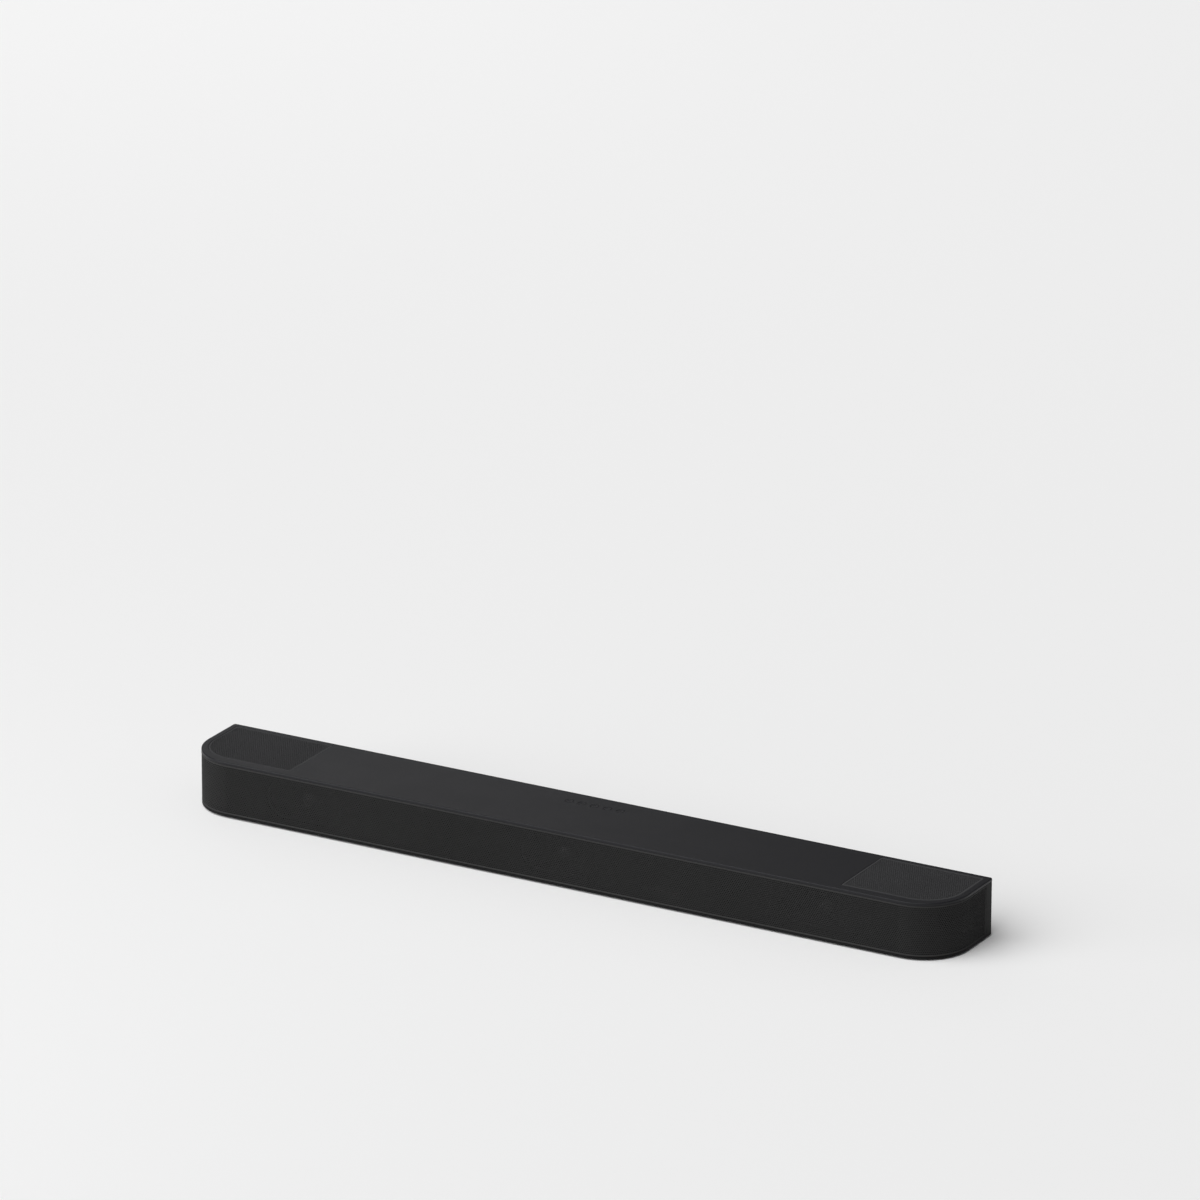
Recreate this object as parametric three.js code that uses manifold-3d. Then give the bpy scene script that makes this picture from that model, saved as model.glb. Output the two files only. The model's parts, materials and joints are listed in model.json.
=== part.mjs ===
// A long, low television soundbar: three front drivers behind a wrap-around grille, an up-firing
// driver under a top grille at each end, press keys on the top, and sockets in two bays at the back.
// Millimetres, +Z up. The front faces -Y, and the origin is on the surface the bar stands on,
// under its middle.
import * as THREE from "three";
import { mergeVertices } from "three/addons/utils/BufferGeometryUtils.js";
import Module from "manifold-3d";

const wasm = await Module();
wasm.setup();

// ---------------------------------------------------------------- driving dimensions

const LENGTH = 950;
const DEPTH = 110;
const HEIGHT = 66;
const FRONT_CORNER = 55; // plan radius of the two front corners
const REAR_CORNER = 3;
const GAP = 0.3; // between pieces that touch

const FOOT_HEIGHT = 1.7;
const WALL = 2.5;
const UNDERSIDE = FOOT_HEIGHT + GAP;
const FLOOR = UNDERSIDE + WALL; // inside of the cabinet's bottom
const TOP_THICKNESS = 3.3;
const TOP_EDGE = 3; // radius along the top cover's edge
const CEILING = HEIGHT - TOP_THICKNESS;
const RIM = CEILING - GAP; // top of everything that the top cover lies on

const GRILLE_THICKNESS = 1.2;
const BAFFLE_INSET = 6; // from the outer surface to the baffle's face
const SIDE_STRIP = 15; // smooth part of each side, behind the grille
const GRILLE_END = DEPTH / 2 - SIDE_STRIP;

const HALF = LENGTH / 2;
const FRONT = -DEPTH / 2;
const REAR = DEPTH / 2;

const DRIVER_SPACING = 322; // centre driver to left or right driver
const DRIVER_HEIGHT = (FLOOR + RIM) / 2;
const FLANGE_RADIUS = 24.5;
const FLANGE_STRAIGHT = 26.5; // half of the racetrack's straight side
const DRIVER_SEGMENTS = 16;
const BAFFLE_OPENING = 22.4; // radius of the racetrack hole that a driver looks out of

const END_GRILLE_FROM = 343; // where each top grille begins
const END_GRILLE_TO = 468;
const END_GRILLE_FRONT = FRONT + 11;
const END_GRILLE_REAR = REAR - 6;
const LEDGE = 3; // what each top grille lies on
const UP_DRIVER_X = 404;
const UP_TILT = THREE.MathUtils.degToRad(18);
const UP_FLANGE_Z = HEIGHT - 15.5; // height of the flange's middle
const UP_RADIAL = 23 / FLANGE_RADIUS; // size of an up-firing driver against a front one
const UP_AXIAL = 0.75;
const UP_STRAIGHT = 4;

const KEY_NAMES = ["power", "input", "wireless", "volume_down", "volume_up"];
const KEY_PITCH = 16;
const KEY_Y = 30;
const KEY_RADIUS = 4.5;
const KEY_SEGMENTS = 12;
const KEY_POST_X = 41;
const KEY_FLANGE_TOP = CEILING - GAP;
const KEY_STEM_END = HEIGHT - 6.6;
const KEY_BOARD_TOP = HEIGHT - 8.4;

const BAY_DEPTH = 22;
const BAY_FLOOR = 10;
const BAY_CEILING = 44;
const BAY_WALL = 2;
const BAY_BACK = REAR - BAY_DEPTH;
const TERMINAL_BAY = [-135, -5];
const POWER_BAY = [125, 175];
const PANEL_LEFT = -143; // the rear panel stands in a gap of the rear wall
const PANEL_RIGHT = 183;
const PANEL_FLANGE = 2.4;
const PORT_FACE = BAY_BACK + 0.5; // where the sockets' mouths are
const INLET_X = (POWER_BAY[0] + POWER_BAY[1]) / 2;
const INLET_Z = 27;

const BOARD_TOP = 15.6;
const BOARD_THICKNESS = 1.6;
const BOARD_FRONT = -34;
const BOARD_REAR = 28.5;
const MAIN_BOARD = [-228, -60];
const POWER_BOARD = [62, 228];
const IN_BOARD = 0.5; // how far a component's body sinks into its board, so that both are one solid
const KEYHOLE_X = 300; // wall-hanging keyholes in the rear wall
const KEYHOLE_Z = 34;
const KEYHOLE_HEAD = 4.5;
const KEYHOLE_NECK = 2.3;
const KEYHOLE_RISE = 11;

const BOSS_TOP = 8;
const BOSS_RADIUS = 5.5;
const COUNTERBORE_TOP = 4.8;
const COUNTERBORE_RADIUS = 3.7;
const SCREW_HOLE = 1.9;
const PILOT_HOLE = 1.7;
const POST_RADIUS = 3.6;

const SCREW_PLACES = [
  [-336, 42],
  [336, 42],
  [-192, 42],
  [192, 42],
  [-205, -40],
  [205, -40],
];

// ---------------------------------------------------------------- materials

function finish(color, roughness, metalness = 0) {
  return new THREE.MeshStandardMaterial({ color, roughness, metalness });
}

const casing = finish(0x1c1c1e, 0.55);
const cover = finish(0x222225, 0.45);
const mesh = finish(0x1b1b1c, 0.6, 0.4);
const moulding = finish(0x141415, 0.7);
const rubber = finish(0x101010, 0.9);
const paper = finish(0x18181a, 0.8);
const steel = finish(0x9a9da0, 0.35, 1);
const ferrite = finish(0x2b2c2e, 0.7, 0.3);
const circuit = finish(0x123d26, 0.5);
const aluminium = finish(0xb5b8ba, 0.4, 1);
const cloth = finish(0x9c7a3c, 0.9);
const tape = finish(0xc9a227, 0.5);

// ---------------------------------------------------------------- shapes and solids

// Outline of a rectangle with rounded corners, given as radii at front left, front right,
// rear right and rear left. A larger radius gets more steps.
function roundedRectangle(x0, x1, y0, y1, radii) {
  const places = [
    [x0, y0, 1, 1, Math.PI],
    [x1, y0, -1, 1, 1.5 * Math.PI],
    [x1, y1, -1, -1, 0],
    [x0, y1, 1, -1, 0.5 * Math.PI],
  ];
  const points = [];
  places.forEach(([x, y, inX, inY, start], corner) => {
    const r = radii[corner];
    const steps = r > 30 ? 10 : r > 10 ? 5 : r > 4 ? 3 : 2;
    for (let i = 0; i <= steps; i++) {
      const angle = start + (i / steps) * (Math.PI / 2);
      points.push(new THREE.Vector2(x + r * (inX + Math.cos(angle)), y + r * (inY + Math.sin(angle))));
    }
  });
  return new THREE.Shape(points);
}

// The bar's outline in plan, taken in by inset.
function planOutline(inset) {
  const front = FRONT_CORNER - inset;
  const rear = Math.max(REAR_CORNER - inset, 1);
  const w = HALF - inset;
  return roundedRectangle(-w, w, FRONT + inset, REAR - inset, [front, front, rear, rear]);
}

// The outline of a top grille, taken in by inset. side is -1 on the left and 1 on the right.
function endOutline(side, inset) {
  const big = END_GRILLE_FRONT - (FRONT + FRONT_CORNER);
  const outer = Math.abs(big) - inset;
  const small = 2;
  const inner = END_GRILLE_FROM + inset;
  const far = END_GRILLE_TO - inset;
  const y0 = END_GRILLE_FRONT + inset;
  const y1 = END_GRILLE_REAR - inset;
  return side > 0
    ? roundedRectangle(inner, far, y0, y1, [small, outer, small, small])
    : roundedRectangle(-far, -inner, y0, y1, [outer, small, small, small]);
}

// A racetrack outline: two half circles joined by straight sides along x.
function racetrack(radius, straight) {
  const w = radius + straight;
  const corner = radius - 0.01;
  return roundedRectangle(-w, w, -radius, radius, [corner, corner, corner, corner]);
}

function extruded(outline, z0, z1) {
  return new THREE.ExtrudeGeometry(outline, { depth: z1 - z0, bevelEnabled: false }).translate(0, 0, z0);
}

function boxed(x0, x1, y0, y1, z0, z1) {
  const box = new THREE.BoxGeometry(x1 - x0, y1 - y0, z1 - z0);
  return box.translate((x0 + x1) / 2, (y0 + y1) / 2, (z0 + z1) / 2);
}

function upright(radius, x, y, z0, z1, segments = 12) {
  return new THREE.CylinderGeometry(radius, radius, z1 - z0, segments)
    .rotateX(Math.PI / 2)
    .translate(x, y, (z0 + z1) / 2);
}

// A profile of [radius, height] points turned about Z. The profile starts and ends on the axis,
// or closes on itself. Points between the radii from and to are pulled apart along x, up to
// straight on each side, so that a round middle can widen into a racetrack rim.
function turned(profile, { straight = 0, from = 0, to = 0.01, segments = DRIVER_SEGMENTS } = {}) {
  const points = profile.map(([r, z]) => new THREE.Vector2(r, z));
  if (THREE.ShapeUtils.area(points) < 0) points.reverse();
  const geometry = new THREE.LatheGeometry(points, segments, Math.PI / segments).rotateX(Math.PI / 2);
  const place = geometry.getAttribute("position");
  for (let i = 0; i < place.count; i++) {
    const radius = Math.hypot(place.getX(i), place.getY(i));
    const share = THREE.MathUtils.clamp((radius - from) / (to - from), 0, 1);
    place.setX(i, place.getX(i) + Math.sign(Math.round(place.getX(i) * 1e4)) * straight * share);
  }
  return geometry;
}

function solid(geometry) {
  const bare = new THREE.BufferGeometry();
  const loose = geometry.index ? geometry.toNonIndexed() : geometry;
  bare.setAttribute("position", loose.getAttribute("position"));
  const merged = mergeVertices(bare, 1e-3);
  return new wasm.Manifold(
    new wasm.Mesh({
      numProp: 3,
      vertProperties: merged.getAttribute("position").array,
      triVerts: new Uint32Array(merged.index.array),
    }),
  );
}

function joined(...geometries) {
  return geometries.map(solid).reduce((whole, piece) => whole.add(piece));
}

function cut(whole, ...geometries) {
  return geometries.map(solid).reduce((left, piece) => left.subtract(piece), whole);
}

function geometryOf(made) {
  const { vertProperties, triVerts } = made.getMesh();
  const geometry = new THREE.BufferGeometry();
  geometry.setAttribute("position", new THREE.BufferAttribute(vertProperties, 3));
  geometry.setIndex(new THREE.BufferAttribute(triVerts, 1));
  geometry.computeVertexNormals();
  return geometry;
}

function piece(name, shape, material) {
  const geometry = shape.isBufferGeometry ? shape : geometryOf(shape);
  const made = new THREE.Mesh(geometry, material);
  made.name = name;
  return made;
}

// ---------------------------------------------------------------- casing

// Where the two boards stand on the cabinet: near their corners.
function boardCorners() {
  const inset = 5;
  return [...MAIN_BOARD, ...POWER_BOARD].flatMap((x, i) => {
    const inward = i % 2 ? -inset : inset;
    return [BOARD_FRONT + inset, BOARD_REAR - inset].map((y) => [x + inward, y]);
  });
}

function bottomCabinet() {
  const shell = cut(
    joined(extruded(planOutline(0), UNDERSIDE, RIM)),
    extruded(planOutline(WALL), FLOOR, RIM + 1),
    boxed(-HALF - 1, HALF + 1, FRONT - 1, GRILLE_END, FLOOR, RIM + 1),
  );
  const bosses = SCREW_PLACES.map(([x, y]) => upright(BOSS_RADIUS, x, y, UNDERSIDE + 0.5, BOSS_TOP));
  const standoffTop = BOARD_TOP - BOARD_THICKNESS - GAP;
  const standoffs = boardCorners().map(([x, y]) => upright(3, x, y, FLOOR - 0.5, standoffTop, 8));
  const holes = SCREW_PLACES.flatMap(([x, y]) => [
    upright(COUNTERBORE_RADIUS, x, y, UNDERSIDE - 1, COUNTERBORE_TOP),
    upright(SCREW_HOLE, x, y, COUNTERBORE_TOP - 1, BOSS_TOP + 1),
  ]);
  const neckTop = KEYHOLE_Z + KEYHOLE_RISE;
  const wallMiddle = REAR - WALL / 2;
  const head = new THREE.CylinderGeometry(KEYHOLE_HEAD, KEYHOLE_HEAD, WALL + 2, 12);
  const keyholes = [-KEYHOLE_X, KEYHOLE_X].flatMap((x) => [
    head.clone().translate(x, wallMiddle, KEYHOLE_Z),
    boxed(x - KEYHOLE_NECK, x + KEYHOLE_NECK, REAR - WALL - 1, REAR + 1, KEYHOLE_Z, neckTop),
  ]);
  const panelGap = boxed(PANEL_LEFT, PANEL_RIGHT, REAR - WALL - 1, REAR + 1, FLOOR, RIM + 1);
  return cut(shell.add(joined(...bosses, ...standoffs)), panelGap, ...holes, ...keyholes);
}

// The rear panel stands in the rear wall's gap, with a flange behind the wall on each side.
// It carries the two bays, whose backs hold the sockets.
function rearPanel() {
  const inner = REAR - WALL - GAP;
  const bottom = FLOOR + GAP;
  const plate = joined(
    boxed(PANEL_LEFT - PANEL_FLANGE, PANEL_RIGHT + PANEL_FLANGE, inner - 2, inner, bottom, RIM),
    boxed(PANEL_LEFT + GAP, PANEL_RIGHT - GAP, inner - 1, REAR - GAP, bottom, RIM),
  );
  const shells = [TERMINAL_BAY, POWER_BAY].map(([left, right]) =>
    boxed(
      left - BAY_WALL,
      right + BAY_WALL,
      BAY_BACK - BAY_WALL,
      inner - 1,
      BAY_FLOOR - BAY_WALL,
      BAY_CEILING + BAY_WALL,
    ),
  );
  const hollows = [TERMINAL_BAY, POWER_BAY].map(([left, right]) =>
    boxed(left, right, BAY_BACK, REAR + 1, BAY_FLOOR, BAY_CEILING),
  );
  const socketHoles = Object.values(PORTS).map(({ x, width, height }) => {
    const w = width / 2 + GAP;
    return boxed(x - w, x + w, BAY_BACK - 5, BAY_BACK + 1, BOARD_TOP, BOARD_TOP + height + 2 * GAP);
  });
  const [inletWidth, inletHeight] = INLET_BODY.map((size) => size / 2 + GAP);
  const inletHole = boxed(
    INLET_X - inletWidth,
    INLET_X + inletWidth,
    BAY_BACK - 3,
    BAY_BACK + 1,
    INLET_Z - inletHeight,
    INLET_Z + inletHeight,
  );
  return cut(plate.add(joined(...shells)), ...hollows, ...socketHoles, inletHole);
}

// A wall that follows the outline between two insets, open at the rear.
function wrapAround(outer, inner, end) {
  return cut(
    joined(extruded(planOutline(outer), FLOOR + GAP, RIM)),
    extruded(planOutline(inner), FLOOR, RIM + 1),
    boxed(-HALF - 1, HALF + 1, end, REAR + 1, FLOOR, RIM + 1),
  );
}

function frontBaffle() {
  const wall = wrapAround(BAFFLE_INSET, BAFFLE_INSET + WALL, GRILLE_END - 2);
  const openings = [-1, 0, 1].map((side) =>
    extruded(racetrack(BAFFLE_OPENING, FLANGE_STRAIGHT), -10, 10)
      .rotateX(Math.PI / 2)
      .translate(side * DRIVER_SPACING, FRONT + BAFFLE_INSET, DRIVER_HEIGHT),
  );
  return cut(wall, ...openings);
}

function topCover() {
  const straightSide = 6;
  const edged = new THREE.ExtrudeGeometry(planOutline(TOP_EDGE), {
    depth: straightSide,
    bevelSize: TOP_EDGE,
    bevelThickness: TOP_EDGE,
    bevelSegments: 3,
  }).translate(0, 0, HEIGHT - TOP_EDGE - straightSide);
  const plate = cut(joined(edged), boxed(-HALF - 1, HALF + 1, FRONT - 1, REAR + 1, 0, CEILING));
  const posts = SCREW_PLACES.map(([x, y]) => upright(POST_RADIUS, x, y, BOSS_TOP + GAP, CEILING + 1));
  const boardPosts = [-KEY_POST_X, KEY_POST_X].map((x) =>
    upright(2.5, x, KEY_Y, KEY_BOARD_TOP + GAP, CEILING + 1, 8),
  );
  const pilots = SCREW_PLACES.map(([x, y]) => upright(PILOT_HOLE, x, y, BOSS_TOP - 1, BOSS_TOP + 9));
  const ends = [-1, 1].flatMap((side) => [
    extruded(endOutline(side, 0), HEIGHT - GRILLE_THICKNESS - 2 * GAP, HEIGHT + 1),
    extruded(endOutline(side, LEDGE), CEILING - 1, HEIGHT + 1),
  ]);
  const keyHoles = keyPlaces().map((x) =>
    upright(KEY_RADIUS + GAP + 0.05, x, KEY_Y, CEILING - 1, HEIGHT + 1, KEY_SEGMENTS),
  );
  return cut(plate.add(joined(...posts, ...boardPosts)), ...pilots, ...ends, ...keyHoles);
}

function topGrille(side) {
  const top = HEIGHT - GAP / 2;
  return extruded(endOutline(side, GAP), top - GRILLE_THICKNESS, top);
}

function foot() {
  return extruded(roundedRectangle(-22, 22, -6, 6, [5.9, 5.9, 5.9, 5.9]), 0, FOOT_HEIGHT);
}

// ---------------------------------------------------------------- drivers

// Profiles of a driver about its axis, with height 0 at the flange's face and the front above it.
const BASKET = [
  [24.5, 0], [24.5, -2], [21, -2.4], [17.5, -16], [17.5, -20], [10.4, -20],
  [10.4, -18.6], [16.1, -18.6], [16.1, -15.6], [19.4, -2.4], [19.4, 0], [24.5, 0],
];
const MOTOR = [
  [0, -13], [8.2, -13], [8.2, -31], [9.9, -31], [9.9, -20.4], [17, -20.4], [17, -24], [19, -24],
  [19, -36], [0, -36],
];
const CONE = [
  [0, -5.2], [5, -5.9], [9.4, -7.9], [17.1, 0.9], [17.1, 0.3], [9.3, -9], [9.3, -22], [8.7, -22],
  [8.7, -8.6], [0, -5.8],
];
const SPIDER = [
  [9.6, -14], [9.6, -14.6], [11.7, -15.6], [13.7, -14.6], [15.8, -15.2], [15.8, -14.6],
  [13.7, -14], [11.7, -15], [9.6, -14],
];
const SURROUND = surroundProfile();

function surroundProfile() {
  const middle = 19.5;
  const roll = 2.1;
  const skin = 0.6;
  const lip = 0.9;
  const arc = (radius, from, to) =>
    [0, 1, 2, 3].map((i) => {
      const angle = from + ((to - from) * i) / 3;
      return [middle + radius * Math.cos(angle), lip + radius * Math.sin(angle)];
    });
  const outer = arc(roll, 0, Math.PI);
  const inner = arc(roll - skin, Math.PI, 0);
  return [[24, GAP], [24, lip], ...outer, [middle - roll, GAP], [middle - roll + skin, GAP], ...inner,
    [middle + roll - skin, GAP], [24, GAP]];
}

function scaled(profile, radial, axial) {
  return profile.map(([r, z]) => [r * radial, z * axial]);
}

// A driver in its own frame, facing +Z. Its round motor and its racetrack rim share one axis.
function driver(name, { radial = 1, axial = 1, straight, withSpider }) {
  const widen = (inner, outer) => ({ straight, from: inner * radial, to: outer * radial });
  const profiles = { basket: BASKET, motor: MOTOR, cone: CONE, surround: SURROUND, spider: SPIDER };
  const at = Object.fromEntries(Object.entries(profiles).map(([key, p]) => [key, scaled(p, radial, axial)]));
  const group = new THREE.Group();
  group.add(
    piece(`${name}_basket`, turned(at.basket, widen(17.5, 19.4)), steel),
    piece(`${name}_motor`, turned(at.motor), ferrite),
    piece(`${name}_cone`, turned(at.cone, widen(9.6, 17.1)), paper),
    piece(`${name}_surround`, turned(at.surround, widen(16, 17)), rubber),
  );
  if (withSpider) group.add(piece(`${name}_spider`, turned(at.spider), cloth));
  return group;
}

function frontDriver(name, x) {
  const made = driver(name, { straight: FLANGE_STRAIGHT, withSpider: true });
  const flangeY = FRONT + BAFFLE_INSET + WALL + 1.5;
  made.position.set(x, flangeY, DRIVER_HEIGHT);
  made.rotation.x = Math.PI / 2;
  return made;
}

// A chamber stands on the cabinet's floor, and its sloping lid carries the up-firing driver.
function upChamber() {
  const upended = (geometry) => geometry.translate(0, 0, -UP_FLANGE_Z).rotateX(-UP_TILT);
  const [w, d, wall] = [48, 28, 2];
  const lidBottom = 1;
  const lidTop = 3.2;
  const outside = joined(upended(boxed(-w, w, -d, d, FLOOR + GAP, HEIGHT)));
  const inside = joined(upended(boxed(wall - w, w - wall, wall - d, d - wall, 0, HEIGHT)));
  const below = joined(boxed(-100, 100, -100, 100, -100, lidBottom));
  return cut(
    outside,
    boxed(-100, 100, -100, 100, lidTop, 100),
    extruded(racetrack(BAFFLE_OPENING * UP_RADIAL, UP_STRAIGHT), 0, 5),
  ).subtract(inside.intersect(below));
}

// The up-firing driver leans forward under the top grille.
function upDriver(name, x) {
  const made = driver(name, { radial: UP_RADIAL, axial: UP_AXIAL, straight: UP_STRAIGHT, withSpider: false });
  made.add(piece(name.replace("up", "up_chamber"), upChamber(), moulding));
  made.position.set(x, 0, UP_FLANGE_Z);
  made.rotation.x = UP_TILT;
  return made;
}

// ---------------------------------------------------------------- keys

function keyPlaces() {
  return KEY_NAMES.map((_, i) => (i - (KEY_NAMES.length - 1) / 2) * KEY_PITCH);
}

function key() {
  return turned(
    [
      [0, HEIGHT], [KEY_RADIUS - 0.4, HEIGHT], [KEY_RADIUS, HEIGHT - 0.4], [KEY_RADIUS, KEY_FLANGE_TOP],
      [KEY_RADIUS + 1.2, KEY_FLANGE_TOP], [KEY_RADIUS + 1.2, KEY_FLANGE_TOP - 1.4],
      [1.5, KEY_FLANGE_TOP - 1.4], [1.5, KEY_STEM_END], [0, KEY_STEM_END],
    ],
    { segments: KEY_SEGMENTS },
  );
}

function keyBoard() {
  const half = 44;
  const board = boxed(-half, half, KEY_Y - 8, KEY_Y + 8, KEY_BOARD_TOP - 1.6, KEY_BOARD_TOP);
  const bottom = KEY_BOARD_TOP - IN_BOARD;
  const switches = keyPlaces().map((x) => upright(2.4, x, KEY_Y, bottom, KEY_BOARD_TOP + 0.9, 8));
  return joined(board, ...switches);
}

// ---------------------------------------------------------------- electronics

function mainBoard() {
  const bottom = BOARD_TOP - IN_BOARD;
  const onBoard = (x0, x1, y0, y1, height) => boxed(x0, x1, y0, y1, bottom, BOARD_TOP + height);
  const capacitors = [-78, -90, -102, -114].map((x) => upright(4, x, -24, bottom, BOARD_TOP + 12, 10));
  return joined(
    boxed(...MAIN_BOARD, BOARD_FRONT, BOARD_REAR, BOARD_TOP - BOARD_THICKNESS, BOARD_TOP),
    onBoard(-112, -96, -10, 6, 1.6),
    onBoard(-140, -128, -6, 6, 1.4),
    onBoard(-222, -214, -28, -8, 7),
    ...capacitors,
  );
}

function heatSink() {
  const base = boxed(-204, -156, -30, 4, BOARD_TOP + GAP, BOARD_TOP + 4);
  const fins = [0, 1, 2, 3, 4, 5, 6].map((i) => {
    const x = -204 + i * 7.6;
    return boxed(x, x + 2.4, -30, 4, BOARD_TOP + 3, BOARD_TOP + 22);
  });
  return joined(base, ...fins);
}

function powerBoard() {
  const bottom = BOARD_TOP - IN_BOARD;
  return joined(
    boxed(...POWER_BOARD, BOARD_FRONT, BOARD_REAR, BOARD_TOP - BOARD_THICKNESS, BOARD_TOP),
    boxed(168, 190, -28, -18, bottom, BOARD_TOP + 14),
    boxed(70, 78, -26, 6, bottom, BOARD_TOP + 18),
    upright(8, 210, -10, bottom, BOARD_TOP + 26, 14),
  );
}

// A ferrite-cored transformer: the core closes round a taped winding.
function transformer() {
  const core = boxed(98, 132, -24, 8, BOARD_TOP + 4, BOARD_TOP + 25);
  const winding = boxed(102, 128, -29, 13, BOARD_TOP + 8, BOARD_TOP + 21);
  return joined(core, winding, boxed(101, 129, -27, 11, BOARD_TOP + GAP, BOARD_TOP + 5));
}

function wirelessModule() {
  const wall = REAR - WALL - GAP;
  const board = boxed(212, 244, wall - 1.2, wall, 26, 46);
  const shield = boxed(216, 234, wall - 3.2, wall - 1, 30, 43);
  return joined(board, shield);
}

// The remote sensor and indicator lamps look out between the baffle and the grille.
function indicatorBoard() {
  const face = FRONT + BAFFLE_INSET - GAP;
  const board = boxed(106, 154, face - 1.2, face, 13, 24);
  const sensor = boxed(142, 149, face - 3, face - 1, 15, 22);
  const lamps = [112, 119, 126, 133].map((x) => boxed(x, x + 2, face - 2, face - 0.8, 17.5, 19.5));
  return joined(board, sensor, ...lamps);
}

// ---------------------------------------------------------------- sockets

// A socket's shell stands on the board, with its mouth in the terminal bay.
function socket(x, width, height, depth, mouthWidth, mouthHeight, mouthDepth) {
  const z0 = BOARD_TOP + GAP;
  const middle = z0 + height / 2;
  const shell = boxed(x - width / 2, x + width / 2, PORT_FACE - depth, PORT_FACE, z0, z0 + height);
  const mouth = boxed(
    x - mouthWidth / 2,
    x + mouthWidth / 2,
    PORT_FACE - mouthDepth,
    PORT_FACE + 1,
    middle - mouthHeight / 2,
    middle + mouthHeight / 2,
  );
  return cut(joined(shell), mouth);
}

const PORTS = {
  optical_port: { x: -112, width: 13, height: 12.6, depth: 16, mouth: [10, 10.6, 14] },
  av_port_in: { x: -86, width: 15.2, height: 6, depth: 13.5, mouth: [14, 4.8, 10] },
  av_port_out: { x: -60, width: 15.2, height: 6, depth: 13.5, mouth: [14, 4.8, 10] },
  service_port: { x: -32, width: 14.4, height: 7.2, depth: 13.5, mouth: [12.6, 5.4, 11] },
};

// A flap that closes the optical socket. It hangs on its top edge and swings in.
function opticalShutter() {
  const { x, height, mouth } = PORTS.optical_port;
  const middle = BOARD_TOP + GAP + height / 2;
  const halfWidth = mouth[0] / 2 - 0.4;
  const halfHeight = mouth[1] / 2 - 0.5;
  const y = PORT_FACE - 1.2;
  return boxed(x - halfWidth, x + halfWidth, y - 0.8, y, middle - halfHeight, middle + halfHeight);
}

const INLET_BODY = [24, 13];

// The mains inlet takes a two-pin lead: a racetrack mouth with two pins standing in it.
function powerInlet() {
  const back = BAY_BACK;
  const [width, height] = INLET_BODY;
  const mouthTurn = (radius, straight, y0, y1) =>
    extruded(racetrack(radius, straight), 0, y1 - y0)
      .rotateX(Math.PI / 2)
      .translate(INLET_X, y1, INLET_Z);
  const body = joined(
    boxed(-width / 2, width / 2, back - 14, back + 1, -height / 2, height / 2),
    boxed(-width / 2 - 3, width / 2 + 3, back + GAP, back + 2, -height / 2 - 2.5, height / 2 + 2.5),
  ).translate([INLET_X, 0, INLET_Z]);
  const pins = [-4.3, 4.3].map((x) =>
    new THREE.CylinderGeometry(1.2, 1.2, 10, 8).translate(INLET_X + x, back - 6, INLET_Z),
  );
  return cut(body, mouthTurn(4.2, 4.3, back - 10, back + 3)).add(joined(...pins));
}

// ---------------------------------------------------------------- fasteners

function screw() {
  return turned(
    [[0, 2.6], [2.8, 2.6], [3.2, 3], [3.2, 4.5], [1.4, 4.5], [1.4, 15], [0, 15]],
    { segments: 10 },
  );
}

// ---------------------------------------------------------------- assembly

const soundbar = new THREE.Group();

soundbar.add(
  piece("bottom_cabinet", bottomCabinet(), casing),
  piece("front_baffle", frontBaffle(), moulding),
  piece("front_grille", wrapAround(0, GRILLE_THICKNESS, GRILLE_END - GAP), mesh),
  piece("top_cover", topCover(), cover),
  piece("top_grille_left", topGrille(-1), mesh),
  piece("top_grille_right", topGrille(1), mesh),
);

const FOOT_PLACES = {
  foot_front_left: [-385, -28],
  foot_front_right: [385, -28],
  foot_rear_left: [-385, 38],
  foot_rear_right: [385, 38],
};
for (const [name, [x, y]] of Object.entries(FOOT_PLACES)) {
  const made = piece(name, foot(), rubber);
  made.position.set(x, y, 0);
  soundbar.add(made);
}

soundbar.add(
  frontDriver("left", -DRIVER_SPACING),
  frontDriver("centre", 0),
  frontDriver("right", DRIVER_SPACING),
  upDriver("up_left", -UP_DRIVER_X),
  upDriver("up_right", UP_DRIVER_X),
);

keyPlaces().forEach((x, i) => {
  const made = piece(`key_${KEY_NAMES[i]}`, key(), cover);
  made.position.set(x, KEY_Y, 0);
  soundbar.add(made);
});
soundbar.add(piece("key_board", keyBoard(), circuit));

soundbar.add(
  piece("main_board", mainBoard(), circuit),
  piece("heat_sink", heatSink(), aluminium),
  piece("power_board", powerBoard(), circuit),
  piece("power_transformer", transformer(), tape),
  piece("wireless_module", wirelessModule(), circuit),
  piece("indicator_board", indicatorBoard(), circuit),
);

for (const [name, { x, width, height, depth, mouth }] of Object.entries(PORTS)) {
  soundbar.add(piece(name, socket(x, width, height, depth, ...mouth), steel));
}
soundbar.add(
  piece("rear_panel", rearPanel(), casing),
  piece("optical_shutter", opticalShutter(), moulding),
  piece("power_inlet", powerInlet(), moulding),
);

SCREW_PLACES.forEach(([x, y], i) => {
  const made = piece(`screw_${i + 1}`, screw(), steel);
  made.position.set(x, y, 0);
  soundbar.add(made);
});

export default soundbar;
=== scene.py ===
# %% [markdown]
# # A soundbar, built piece by piece
# The bar is a long low box with two rounded front corners. A punched steel sheet wraps round its front,
# a satin cover closes its top, and at each end of the top another punched sheet lies over a driver that
# fires upwards. This lesson loads the engineering model, which sets every size and place, and makes the
# surfaces that the eye meets: real holes, soft edges, grained plastic and the drivers behind the sheet.

# %% Load the engineering model
import json
import math

import bmesh
import bpy
from mathutils import Matrix, Vector


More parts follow.
